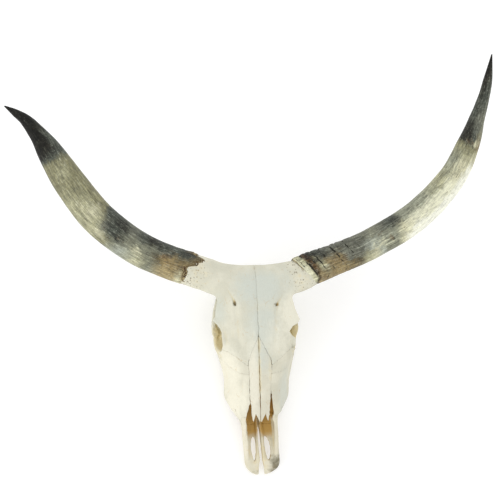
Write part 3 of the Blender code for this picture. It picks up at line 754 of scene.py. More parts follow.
# the parts of the brows over the orbits that are notched, as seen from over the face
BROW_NOTCHES = (
    FaceCut((
        (-128, -141), (-108, -141), (-101, -149), (-95, -158), (-91, -168), (-95, -180), (-94.5, -189),
        (-91.5, -202), (-95, -214), (-104, -214), (-128, -214),
    ), -64, 40, edge_round=1.5, wander=0.6),
    FaceCut((
        (122, -151), (104, -151), (88, -157), (79.5, -169), (83.5, -176), (88, -182), (96, -186),
        (104, -189), (122, -189),
    ), -64, 40, edge_round=1.5, wander=0.6),
)
OPTIC_CANAL = Tube(((52, -176, -64, 6), (34, -166, -70, 4.5), (20, -158, -76, 4)))
LACRIMAL_PIT = Tube(((88, -214, -62, 3.0), (74, -228, -58, 2.5)))
EAR_OPENING = Tube(((92, -62, -128, 4.5), (60, -66, -134, 4.0)))
INFRAORBITAL_HOLE = Tube(((62, -378, -40, 3.2), (52, -360, -43, 3.4), (44, -336, -48, 3.0)))
PALATINE_HOLE = Tube(((17, -284, -118, 3.2), (17, -276, -84, 2.6)))
MIDDLE_HOLLOWS = (
    Ball((0, -205, -146), (17, 34, 17), (-0.25, 0, 0)),
    Ball((0, -34, -172), (17, 40, 15), (0.2, 0, 0)),
    Ball((0, -312, -118), (43, 84, 25), (-0.32, 0, 0)),
)

# lean to the right, distance from the middle, Y, Z and radius of the bars beside the slit in the nose
NOSE_RIDGE = (
    (-0.2, 4.6, -330, -65, 3.6), (0.2, 5.4, -400, -60, 3.7), (0.9, 6.8, -436, -52, 3.5),
    (1.8, 6.9, -470, -46, 3.4), (2.2, 7.4, -490, -42, 3.4),
)

NASAL_HALF = (
    (0, -175), (9, -196), (20, -218), (28, -240), (28.5, -262), (27, -300), (25.5, -332), (21.8, -352),
    (20.2, -372), (18.8, -389),
)
# how open the suture beside a nasal bone is, by millimetres from the poll
SUTURE_OPENINGS = {
    Side.LEFT: (
        (170, 0), (226, 0), (236, 0.7), (249, 0.7), (258, 0.1), (280, 0.1), (292, 0.9), (312, 0.9),
        (328, 0.4), (340, 1), (400, 1),
    ),
    Side.RIGHT: (
        (170, 0), (196, 0.1), (208, 0.35), (226, 0.35), (236, 0.7), (254, 0.7), (264, 0.1), (300, 0.1),
        (318, 0.9), (400, 1),
    ),
}
NASAL_NOTCH = FaceCut(((2.0, -404), (3.0, -388), (11.5, -368), (18.2, -388), (18.6, -404)), -60, 40)
APERTURE = FaceCut((
    (29.2, -322), (30.3, -345), (31.6, -366), (29.5, -387), (27.5, -404), (26.3, -420), (23.5, -434),
    (20, -446), (-26, -446), (-35, -436), (-39, -414), (-36.5, -390), (-30.5, -366), (-25.5, -346),
    (-22, -333), (21, -318),
), -40, 40, edge_round=3.0, wander=0.8)
FISSURES = {
    Side.LEFT: FaceCut((
        (-17.5, -434), (-21.5, -440), (-24.5, -452), (-24.5, -467), (-21, -484), (-17.5, -494), (-14, -492),
        (-10.6, -474), (-9.6, -452), (-11.5, -438),
    ), -120, 40, edge_round=1.2),
    Side.RIGHT: FaceCut((
        (14, -433), (19, -438), (24.5, -450), (26.5, -466), (25.5, -482), (21.5, -493), (17.5, -490),
        (12.8, -470), (11, -452), (12, -438),
    ), -120, 40, edge_round=1.2),
}
SLIT = FaceCut((
    (-1.9, -410), (1.1, -410), (3.6, -430), (4.4, -450), (5.0, -470), (6.1, -492), (8.4, -508), (9.4, -530),
    (-4.8, -530), (-3.6, -508), (-0.8, -492), (-1.6, -470), (-2.4, -450), (-2.9, -430),
), -120, 40, edge_round=1.2)

# millimetres from the poll, half width there, and how far the left and the right side stand to the right
SIDE_GROWTH = np.array((
    (60, 110, 0, 0), (84, 105, -4, 2), (114, 105, -3, 2.5), (132, 108, 2, 4), (162, 108, 2.5, 4),
    (182, 105, 5.5, 2), (202, 100, 5, 0), (218, 95, 4, 2), (234, 92, 5, 5), (252, 88, 6, 4),
    (280, 82, 6, 2), (308, 80, 4, 0), (324, 78, 1, 0), (352, 66, -2, 3), (367, 56, -4, 4), (373, 53, -3, 5),
    (376.5, 51, -2, 0.5), (388, 47, 1, 0.8), (400, 44, 4.5, 2.5), (430, 42, 5.5, 4), (500, 38, 7, 5),
    (530, 38, 7, 5),
))
MAXILLA_SEAM = ((-277, 12), (-222, -118), (-160, -265))
PREMAXILLA_SEAM = ((-372, 10), (-380, -20), (-404, -66), (-418, -110))
ZYGOMATIC_SIDE = ((-236, -74), (-206, -60), (-150, -60), (-118, -80), (-108, -130), (-222, -118))
ZYGOMATIC_INNER_X = 70.0
# sutures of the frontal bones: Y and Z of the side one; distance from the middle and Y of the front one
FOREHEAD_SIDE = np.array((
    (-262, -70), (-214, -78), (-170, -98), (-120, -104), (-70, -92), (-30, -84), (30, -80),
))
FOREHEAD_FRONT = np.array((
    (0, -252), (28, -250), (40, -243), (60, -226), (80, -214), (100, -205), (120, -200),
))
# the box of the right nasal bone, and the Y from which its tip bends down
NASAL_BOX = ((-3.0, -396.0, -16.0), (33.0, -168.0, 6.0))
NASAL_TIP_Y = -372.0


def box_of(side: Side, low: Point, high: Point) -> tuple[Point, Point]:
    """Return the corners of a box that is given for the right side, mirrored for the left."""
    near, far = sorted((side.value * low[0], side.value * high[0]))
    return (near, *low[1:]), (far, *high[1:])


@dataclass(frozen=True)
class Groove:
    """A furrow in the surface, laid along points as they are seen from one direction.

    Attributes:
        path: Points of the face frame, of which the part along the look is ignored.
        widths: Radius of the furrow at each point.
        depths: How deep it cuts at each point.
        look: Direction from the eye to the surface.
        reach: How far along the look the surface is searched for.
        blend: How softly its edges are rounded.
    """

    path: tuple[Point, ...]
    widths: tuple[float, ...]
    depths: tuple[float, ...]
    look: Point = (0.0, 0.0, -1.0)
    reach: float = 260.0
    blend: float = 1.2

    def cut(self, clay: Clay) -> None:
        """Carve the furrow where the clay holds its path.

        Args:
            clay: The block of clay.
        """
        table = smooth_line([(*point, width, depth) for point, width, depth
                             in zip(self.path, self.widths, self.depths)], 6)
        look = np.array(self.look)
        steps = np.arange(0.0, self.reach, 0.5)[:, None]
        knots = []
        for row in table:
            start = row[:3] * (1.0 - np.abs(look)) - look * 0.5 * self.reach
            line = start + steps * look
            held = (line > clay.low) & (line < clay.low + clay.cell * (np.array(clay.field.shape) - 1))
            inside = (clay.read(line) < 0.0) & held.all(axis=1)
            if inside.any():
                spot = line[np.argmax(inside)] - look * (row[3] - row[4])
                knots.append((*spot, row[3]))
        if len(knots) > 1:
            clay.carve(Tube(tuple(knots), steps=1), self.blend)


@dataclass(frozen=True)
class Seam:
    """A suture across the skull, as points of Y and Z seen from the side.

    Attributes:
        line: The points, from the top edge down.
        wander: How far its fine waves go to either side.
        steepness: Millimetres square to the suture for each millimetre along Y.
    """

    line: Outline
    wander: float = 0.9
    steepness: float = 0.92

    def behind(self, x: Array, y: Array, z: Array) -> Array:
        """Return how far behind the suture each point lies.

        Args:
            x: Places along X, of shapes that broadcast together.
            y: Places along Y.
            z: Places along Z.

        Returns:
            The distances in millimetres, negative ahead of it.
        """
        table = np.array(sorted(self.line, key=lambda point: point[1]))
        edge = np.interp(z, table[:, 1], table[:, 0])
        edge = edge + self.wander * (Grain(17, 4.0).at(x, 0.0, z) + Grain(18, 11.0).at(x, 0.0, z))
        return (y - edge) * self.steepness


@dataclass
class Sculptor:
    """Sculpts the skull in a block of clay.

    Attributes:
        suture_gap: Gap between neighbouring bones where their suture is closed.
        open_gap: Gap where it has opened.
        nasal_plate: Thickness of the nasal bones.
        nasal_furrow: Depth of the furrow between them.
        orbit_rough: How rough the walls of the orbits are.
    """

    suture_gap: float = 0.12
    open_gap: float = 1.1
    nasal_plate: float = 6.0
    nasal_furrow: float = 1.5
    orbit_rough: float = 1.1

    def block(self, low: Point, high: Point, cell: float) -> tuple[Clay, Array]:
        """Sculpt the part of the skull within a box.

        Args:
            low: Lowest corner in the face frame.
            high: Highest corner.
            cell: Grid spacing in millimetres.

        Returns:
            The carved clay, and its distances from before the carving.
        """
        clay = Clay(np.array(low, float), np.array(high, float), cell)
        self.build_up(clay)
        clay.soften(max(1, round(3.0 / cell)))
        hull = clay.field.copy()
        self.hollow_out(clay)
        self.mark(clay)
        return clay, hull

    def build_up(self, clay: Clay) -> None:
        """Add every solid form, with its fillet.

        Args:
            clay: The block of clay.
        """
        for form, blend in (
            (BRAINCASE, 6.0), (ROOF, 8.0), (FACE, 8.0), (NOSE_FLOOR, 3.0), (BASE_OF_SKULL, 6.0),
            (NUCHAL_CREST, 8.0), (OCCIPITAL_KNOB, 6.0), *((core, 16.0) for core in HORN_CORES),
            *((rim, 5.0) for rim in ORBIT_RIMS),
        ):
            clay.add(form, blend)
        for form, blend in PAIRED_FORMS:
            for side in Side:
                clay.add(form.mirrored(side.value), blend)

    def hollow_out(self, clay: Clay) -> None:
        """Carve orbits, nose, palate, and the openings at the back.

        Args:
            clay: The block of clay.
        """
        ragged = Grain(5, 6.0)
        clay.carve(NASAL_CAVITY, 3.0)
        clay.carve(APERTURE, 2.0)
        for hollow in MIDDLE_HOLLOWS:
            clay.carve(hollow, 5.0)
        for side in Side:
            clay.carve(ORBIT.mirrored(side.value), 2.5, ragged, self.orbit_rough)
            for hole in (OPTIC_CANAL, LACRIMAL_PIT, EAR_OPENING, INFRAORBITAL_HOLE, PALATINE_HOLE):
                clay.carve(hole.mirrored(side.value), 1.5)
            clay.carve(FISSURES[side], 2.0)
            knots = tuple((lean + side.value * out, y, z, radius) for lean, out, y, z, radius in NOSE_RIDGE)
            clay.add(Tube(knots), 3.0)
        clay.carve(SLIT, 1.6)
        for notch in BROW_NOTCHES:
            clay.carve(notch, 2.5)

    def wavy_outline(self, x: Array, y: Array) -> Array:
        """Return how far outside the outline of the nasal bones points of the face lie.

        Args:
            x: Places along X.
            y: Places along Y.

        Returns:
            The distances, negative inside.
        """
        right = smooth_line(NASAL_HALF, 3)
        outline = np.vstack([right, right[right[:, 0] > 0.0][::-1] * (-1.0, 1.0)])
        waves = 0.7 * Grain(23, 6.0).at(x, y, 0.0), 0.4 * Grain(24, 2.6).at(x, y, 0.0)
        return outline_distance(outline, x, y) + waves[0] + waves[1]

    def nasal_bed(self, x: Array, y: Array, z: Array, hull: Array) -> Array:
        """Measure how far outside the space of the nasal bones points lie.

        Args:
            x: Places along X, of shapes that broadcast together.
            y: Places along Y.
            z: Places along Z.
            hull: Distances of the points to the skull before the carving.

        Returns:
            The distances, negative inside.
        """
        left, right = (np.interp(-y, *np.array(SUTURE_OPENINGS[side]).T) for side in Side)
        uneven = np.clip(0.7 + 1.6 * Grain(27, 7.0).at(x, y, 0.0), 0.0, 1.2)
        opened = self.open_gap * np.where(x < 0.0, left, right) * uneven
        under = np.maximum(-hull - self.nasal_plate - self.suture_gap, -24.0 - z)
        return np.maximum(self.wavy_outline(x, y) - self.suture_gap - opened, under)

    def lean(self, points: Array) -> Array:
        """Return how far the uneven growth of the two sides shifts points of the face to the right.

        Args:
            points: Rows of X, Y, Z in millimetres.

        Returns:
            A shift in millimetres for each point.
        """
        x, y, z = points.T
        wide, left, right = (np.interp(-y, SIDE_GROWTH[:, 0], column) for column in SIDE_GROWTH[:, 1:].T)
        out = np.clip(np.abs(x) / wide, 0.0, 1.0) * np.clip((z + 118.0) / 28.0, 0.0, 1.0)
        return np.where(x < 0.0, left, right) * out

    def mark(self, clay: Clay) -> None:
        """Cut the furrows and small holes of the face and the sutures on the cranium.

        Args:
            clay: The block of clay.
        """
        for groove in FURROWS:
            groove.cut(clay)
        for hole in SUPRAORBITAL_HOLES:
            clay.carve(hole, 1.5)


FURROWS = (
    # foramen over the left orbit, with its furrows up and down
    Groove(((-54.5, -94, 0), (-56, -88, 0), (-63, -75, 0), (-76, -55, 0)),
           (3.6, 3.2, 2.6, 1.8), (6.5, 4.4, 2.0, 0.3), blend=2.0),
    Groove(((-54, -99, 0), (-54, -136, 0), (-52, -181, 0), (-50, -214, 0)),
           (9, 10, 10, 9), (2.4, 1.9, 1.3, 0.2), blend=3.0),
    # the same on the right
    Groove(((50, -101, 0), (52, -96, 0), (60, -86, 0), (71, -70, 0)),
           (3.4, 3.0, 2.6, 1.8), (6.0, 3.6, 1.6, 0.3), blend=2.0),
    Groove(((50, -106, 0), (48, -140, 0), (44, -184, 0), (42, -214, 0)),
           (9, 10, 10, 9), (2.4, 1.9, 1.3, 0.2), blend=3.0),
    # the shallow furrow between the frontal bones
    Groove(((-1.6, -6, 0), (-0.9, -68, 0), (-0.4, -135, 0), (0.3, -172, 0)),
           (5, 6, 6, 5), (0.3, 0.5, 0.7, 0.9), blend=3.0),
    # small cracks where the frontal and nasal bones meet
    Groove(((-6, -170, 0), (-1, -175, 0), (4, -179, 0)), (0.9, 1.2, 0.8), (0.5, 0.9, 0.4), blend=0.6),
    Groove(((-5, -181, 0), (1, -176, 0), (8, -172, 0)), (0.8, 1.2, 0.9), (0.4, 0.9, 0.4), blend=0.6),
)
# where the holes over the orbits sink through the bone
SUPRAORBITAL_HOLES = (
    Tube((
        (-60.5, -78, -1, 0.7), (-57, -85, -3, 1.3), (-54.5, -92, -5, 1.9), (-53.2, -98, -12, 2.0),
        (-52, -100, -24, 1.5),
    )),
    Tube(((54, -95, -1, 0.8), (49.5, -98, -4, 1.5), (47.5, -102, -12, 1.8), (47, -104, -22, 1.4))),
)


# --- Bones ----------------------------------------------------------------------------------------------

def farthest(*distances: Array) -> Array:
    """Return the largest of several distances at each point, which is where all their solids overlap."""
    return reduce(np.maximum, distances)


def moving_mean(values: Array, radius: int) -> Array:
    """Average a grid over a box.

    Args:
        values: The grid.
        radius: Cells on each side of the middle one.

    Returns:
        A grid of the same size.
    """
    width = 2 * radius + 1
    for axis in range(3):
        margins = [(radius + 1, radius) if other == axis else (0, 0) for other in range(3)]
        total = np.cumsum(np.pad(values, margins, mode="edge"), axis=axis)
        total = np.moveaxis(total, axis, 0)
        values = np.moveaxis((total[width:] - total[:-width]) / width, 0, axis)
    return values


def sharp_skin(low: Array, cell: float, whole: Array, region: Array) -> tuple[Array, Array]:
    """Cut a region from a solid and skin it, with a sharp edge where the cut meets the surface.

    Args:
        low: Lowest corner of both grids in the face frame.
        cell: Grid spacing.
        whole: Distances to the solid's surface.
        region: Distances to the region's border.

    Returns:
        Points of the face frame, and quads.
    """
    region = np.broadcast_to(region, whole.shape)
    high = low + cell * (np.array(whole.shape) - 1)
    shell = np.pad(np.maximum(whole, region), 1, constant_values=2.0 * cell)
    points, faces = Clay(low - cell, high + cell, cell, shell).skin()
    surface, seam = Clay(low, high, cell, whole), Clay(low, high, cell, region)
    for _ in range(3):
        here, there = surface.read(points), seam.read(points)
        near = (np.abs(here) < 0.7 * cell) & (np.abs(there) < 0.7 * cell)
        edge = points[near]
        step = here[near, None] * surface.slope(edge) + there[near, None] * seam.slope(edge)
        points[near] = edge - np.clip(step, -0.4 * cell, 0.4 * cell)
    return points, faces


@dataclass(frozen=True)
class Bone:
    """A bone, and what it takes the place of.

    Attributes:
        name: Name of the piece.
        node: CAD node that it stands for.
        slot: Material slot of the record.
        low: Lowest corner of the box it lies in, in the face frame.
        high: Highest corner.
        region: Gives how far outside the bone's share of the skull each point lies.
    """

    name: str
    node: str
    slot: str
    low: Point
    high: Point
    region: Callable[[Array, Array, Array], Array]


@dataclass
class Skull:
    """The bones of the skull.

    Attributes:
        sculptor: Who shapes the clay.
        low: Lowest corner of the block of clay.
        high: Highest corner.
        maxilla_seam: Suture behind the maxillae.
        premaxilla_seam: Suture behind the premaxillae.
        lumps: Weathered lumps, as noise seed, size and height.
        orbit_bleach: How much paler the walls of the orbits are than other insides, as they get less of the
            inside mask of painted shade and staining.
    """

    sculptor: Sculptor = field(default_factory=Sculptor)
    low: Point = (-206.0, -534.0, -244.0)
    high: Point = (206.0, 34.0, 16.0)
    maxilla_seam: Seam = Seam(MAXILLA_SEAM)
    premaxilla_seam: Seam = Seam(PREMAXILLA_SEAM)
    lumps: tuple[tuple[int, float, float], ...] = ((31, 34.0, 0.7), (32, 11.0, 0.35), (33, 4.5, 0.16))
    orbit_bleach: float = 0.6

    def build(self) -> dict[str, Piece]:
        """Sculpt the skull and cut it into bones.

        Returns:
            The pieces by name.
        """
        clay, self.hull = self.sculptor.block(self.low, self.high, CELL)
        self.clay = clay
        # shares of solid bone round each place, read later as masks of painted shade in concave spots and
        # where bone hems the surface in
        solid = np.clip(0.5 - clay.field[::2, ::2, ::2] / (2.0 * clay.cell), 0.0, 1.0)
        self.near_bone = moving_mean(moving_mean(solid, 1), 1)
        self.wide_bone = moving_mean(moving_mean(solid, 4), 3)
        pieces = {bone.name: self.cut(bone) for bone in self.bones()}
        for side in Side:
            pieces[f"nasal_{side.word}"] = self.nasal(side)
        return pieces

    @property
    def gap(self) -> float:
        """Return how far a bone stays from the middle of a closed suture."""
        return 0.5 * self.sculptor.suture_gap

    def bones(self) -> list[Bone]:
        """List the bones that are cut from the clay.

        Returns:
            The bones, with the CAD nodes that they stand for.
        """
        low, high = (-206, -290, -244), (206, 34, 16)
        bones = [Bone("braincase", "cranium", "bone_forehead", low, high, self.braincase)]
        for side in Side:
            for word, node, slot, low, high, region in (
                ("frontal", "cranium", "bone_forehead", (-3, -262, -132), (206, 34, 16), self.frontal),
                ("lacrimal", "cranium", "bone_cream", (-3, -285, -110), (110, -190, 12), self.lacrimal),
                ("zygomatic", "", "bone_cream", (57, -245, -140), (118, -100, -50), self.zygomatic),
                ("maxilla", "", "bone_cream", (-3, -432, -150), (100, -140, 10), self.maxilla),
                ("premaxilla", "", "bone_nose", (-3, -534, -100), (56, -366, 8), self.premaxilla),
            ):
                name = f"{word}_{side.word}"
                box = box_of(side, low, high)
                bones.append(Bone(name, node or name, slot, *box, partial(region, side.value)))
        return bones

    def half(self, side: int, x: Array, y: Array) -> Array:
        """Return how far beyond the middle of the face each point lies, seen from its side."""
        wave = 0.8 * Grain(41, 5.0).at(0.0, y, 0.0) + 0.9 * Grain(42, 14.0).at(0.0, y, 0.0)
        return -side * (x - wave)

    def cheek(self, x: Array, y: Array, z: Array) -> Array:
        """Return how far outside the share of the cheek bones each point lies."""
        wave = 0.8 * Grain(43, 5.0).at(x, y, z)
        outside = outline_distance(np.array(ZYGOMATIC_SIDE, float), y, z) + wave
        return np.maximum(outside, ZYGOMATIC_INNER_X - np.abs(x))

    def below_forehead(self, x: Array, y: Array, z: Array) -> Array:
        """Return how far below the frontal bones' share each point lies: under their side seam."""
        depth = np.interp(y, *FOREHEAD_SIDE.T) + 0.8 * Grain(44, 5.0).at(x, y, 0.0)
        at_horn = np.clip((np.abs(x) - 90.0) / 20.0, 0.0, 1.0)
        return depth - 60.0 * at_horn - z

    def ahead_of_forehead(self, x: Array, y: Array) -> Array:
        """Return how far ahead of the frontal bones' front seam each point lies."""
        return np.interp(np.abs(x), *FOREHEAD_FRONT.T) + 0.9 * Grain(45, 4.5).at(x, 0.0, 0.0) - y

    def frontal(self, side: int, x: Array, y: Array, z: Array) -> Array:
        """Return how far outside a frontal bone's share each point lies."""
        middle = self.gap + 0.2 * self.sculptor.open_gap * np.clip(0.4 + (-90.0 - y) / 90.0, 0.3, 1.0)
        return farthest(self.half(side, x, y) + middle, self.below_forehead(x, y, z) + self.gap,
                        self.ahead_of_forehead(x, y) + self.gap, self.gap - self.cheek(x, y, z),
                        self.gap - self.maxilla_seam.behind(x, y, z))

    def lacrimal(self, side: int, x: Array, y: Array, z: Array) -> Array:
        """Return how far outside a lacrimal bone's share each point lies."""
        return farthest(6.0 - side * x, self.gap - self.ahead_of_forehead(x, y), -104.0 - z,
                        self.gap - self.cheek(x, y, z), self.gap - self.maxilla_seam.behind(x, y, z))

    def braincase(self, x: Array, y: Array, z: Array) -> Array:
        """Return how far outside the share of the braincase each point lies: what the others leave."""
        taken = [region(side.value, x, y, z) for region in (self.frontal, self.lacrimal) for side in Side]
        return farthest(*(2 * self.gap - share for share in taken), self.gap - self.cheek(x, y, z),
                        self.gap - self.maxilla_seam.behind(x, y, z))

    def zygomatic(self, side: int, x: Array, y: Array, z: Array) -> Array:
        """Return how far outside a cheek bone's share each point lies."""
        return farthest(self.cheek(x, y, z) + self.gap, -side * x)

    def maxilla(self, side: int, x: Array, y: Array, z: Array) -> Array:
        """Return how far outside a maxilla's share each point lies."""
        return farthest(self.maxilla_seam.behind(x, y, z) + self.gap, self.half(side, x, y) + self.gap,
                        self.gap - self.premaxilla_seam.behind(x, y, z), self.gap - self.cheek(x, y, z))

    def premaxilla(self, side: int, x: Array, y: Array, z: Array) -> Array:
        """Return how far outside a premaxilla's share each point lies."""
        return farthest(self.premaxilla_seam.behind(x, y, z) + self.gap, self.half(side, x, y) + self.gap)

    def cut(self, bone: Bone) -> Piece:
        """Cut one bone from the clay and give it a skin.

        Args:
            bone: Which bone, and where it lies.

        Returns:
            The piece.
        """
        cell = self.clay.cell
        window = self.clay.window(np.array(bone.low, float), np.array(bone.high, float), 0.0)
        whole = self.clay.field[window]
        axes = self.clay.axes(window)
        region = np.maximum(bone.region(*axes), -self.sculptor.nasal_bed(*axes, self.hull[window]))
        low = self.clay.low + cell * np.array([span.start for span in window])
        points, faces = sharp_skin(low, cell, whole, region)
        return self.finish(bone.name, points, faces, self.clay.slope(points))

    def nasal(self, side: Side) -> Piece:
        """Shape one nasal bone in a finer block of clay of its own.

        Args:
            side: Which bone.

        Returns:
            The piece.
        """
        sculptor = self.sculptor
        clay = Clay(*(np.array(corner) for corner in box_of(side, *NASAL_BOX)), 0.75 * CELL)
        x, y, z = clay.axes()
        ahead = np.minimum(y - NASAL_TIP_Y, 0.0)
        grid = np.stack(np.broadcast_arrays(x, y - ahead, z + 0.006 * ahead ** 2), axis=-1)
        hull = self.read(self.hull, grid.reshape(-1, 3)).reshape(grid.shape[:3])
        hull = hull + sculptor.nasal_furrow * np.exp(-(x / 3.5) ** 2)
        gap = 0.5 * np.interp(-y, (175.0, 240.0, 330.0, 400.0), (0.6, 1.0, 1.8, 2.2))
        wave = 0.5 * Grain(26, 5.0).at(0.0, y, 0.0)
        around = -soft_min(-sculptor.wavy_outline(x, y), side.value * (x - wave) - gap, 1.2)
        plate = np.maximum(hull, -sculptor.nasal_plate - hull)
        around = np.maximum(around, -NASAL_NOTCH.mirrored(side.value).distance(x, y, z))
        clay.field = np.maximum(plate, around)
        points, faces = sharp_skin(clay.low, clay.cell, plate, around)
        return self.finish(f"nasal_{side.word}", points, faces, clay.slope(points))

    def finish(self, name: str, points: Array, faces: Array, out: Array) -> Piece:
        """Give a bone its weathered lumps and the masks that its finish reads.

        Args:
            name: Name of the piece.
            points: Points of its skin in the face frame.
            faces: Quads of its skin.
            out: Direction out of the surface at each point.

        Returns:
            The piece, laid down on the floor.
        """
        rise = sum(amount * Grain(seed, size).at(*points.T) for seed, size, amount in self.lumps)
        fade = np.clip(1.0 + self.read(self.hull, points) / 14.0, 0.35, 1.0)
        points = points + out * (rise * fade)[:, None]
        places = lay_down(points + np.outer(self.sculptor.lean(points), (1.0, 0.0, 0.0)))
        places[:, 2] = np.maximum(places[:, 2], 0.0)
        piece = add_object(mesh_of(name, places, faces))
        mesh = piece.data
        paint(mesh, "place", points)
        # masks of painted shade: inside, by depth under the uncarved skull and in the open nose, where it
        # also carries brown staining; hollow, in concave spots; shelter, where bone hems the surface in
        beside = np.clip(np.abs(points[:, 0]) / 10.0 - 5.2, 0.0, 1.0)
        inside = np.clip(-self.read(self.hull, points) / 8.0, 0.0, 1.0) * (1.0 - self.orbit_bleach * beside)
        paint(mesh, "inside", np.maximum(inside, self.nose_cave(points)))
        paint(mesh, "hollow", np.clip(self.read(self.near_bone, points, 2) * 2.0 - 1.0, -1.0, 1.0))
        paint(mesh, "shelter", np.clip(self.read(self.wide_bone, points, 2) * 2.0 - 1.0, -1.0, 1.0))
        paint_weathering(mesh, points)
        return piece

    def nose_cave(self, points: Array) -> Array:
        """Return how deep in the open nose each point lies, from 0 to 1, with a paler middle ridge: a mask of
        painted shade in the nose, together with its brown staining.

        Args:
            points: Rows of X, Y, Z in the face frame.

        Returns:
            The depths.
        """
        x, y, z = points.T
        ahead = np.clip((y + 452.0) / 34.0, 0.0, 1.0) * np.clip((-312.0 - y) / 8.0, 0.0, 1.0)
        depth = np.clip((-12.0 - z) / 16.0, 0.0, 1.0) * np.clip((34.5 - np.abs(x)) / 4.0, 0.0, 1.0)
        return ahead * depth * (1.0 - 0.45 * np.exp(-((x + 0.5) / 6.0) ** 2))

    def read(self, values: Array, points: Array, stride: int = 1) -> Array:
        """Read a grid at points, where the grid holds each stride-th cell of the block."""
        return Clay(self.clay.low, self.clay.high, self.clay.cell * stride, values).read(points)


# --- Wiring of node trees ---------------------------------------------------------------------------------

SOCKET_KINDS = {
    "value": "Float", "count": "Int", "vector": "Vector", "colour": "Color", "shape": "Geometry",
    "material": "Material", "object": "Object",
}
OUTPUT_KINDS = {"VALUE": "Float", "RGBA": "Color", "GEOMETRY": "Geometry"}


class Signal:
    """What a socket gives out, open to sums and products with numbers, triples and other signals."""

    def __init__(self, wiring: Wiring, socket: Socket) -> None:
        """Take up a socket of a tree."""
        self.wiring = wiring
        self.socket = socket

    def __add__(self, other: object) -> Signal:
        """Return the sum."""
        return self.wiring.joined("ADD", self, other)

    def __sub__(self, other: object) -> Signal:
        """Return the difference."""
        return self.wiring.joined("SUBTRACT", self, other)

    def __rsub__(self, other: object) -> Signal:
        """Return how much a number exceeds this."""
        return self.wiring.joined("SUBTRACT", other, self)

    def __mul__(self, other: object) -> Signal:
        """Return the product."""
        return self.wiring.joined("MULTIPLY", self, other)

    def __truediv__(self, other: object) -> Signal:
        """Return the quotient."""
        return self.wiring.joined("DIVIDE", self, other)

    def is_vector(self) -> bool:
        """Return whether it carries three numbers."""
        return self.socket.type in ("VECTOR", "RGBA")

    def split(self) -> list[Signal]:
        """Return the three numbers of a vector."""
        node = self.wiring.node("ShaderNodeSeparateXYZ", self)
        return [Signal(self.wiring, socket) for socket in node.outputs]

    def ramp(self, start: object, end: object, low: object = 0.0, high: object = 1.0) -> Signal:
        """Return a smooth rise from low to high while this goes from start to end."""
        sort = {"interpolation_type": "SMOOTHSTEP"}
        return self.wiring.out("ShaderNodeMapRange", self, start, end, low, high, **sort)

    def noise(self, scale: object, detail: float = 3.0, roughness: float = 0.5, distortion: float = 0.0,
              output: str = "Fac") -> Signal:
        """Return noise between 0 and 1 at this place."""
        inputs = {"Vector": self, "Scale": scale, "Detail": detail, "Roughness": roughness}
        return self.wiring.named("ShaderNodeTexNoise", inputs | {"Distortion": distortion})[output]

    def cells(self, scale: object, feature: str = "F1", output: str = "Distance") -> Signal:
        """Return distances, or another output, of a cell pattern at this place."""
        inputs = {"Vector": self, "Scale": scale}
        return self.wiring.named("ShaderNodeTexVoronoi", inputs, feature=feature)[output]


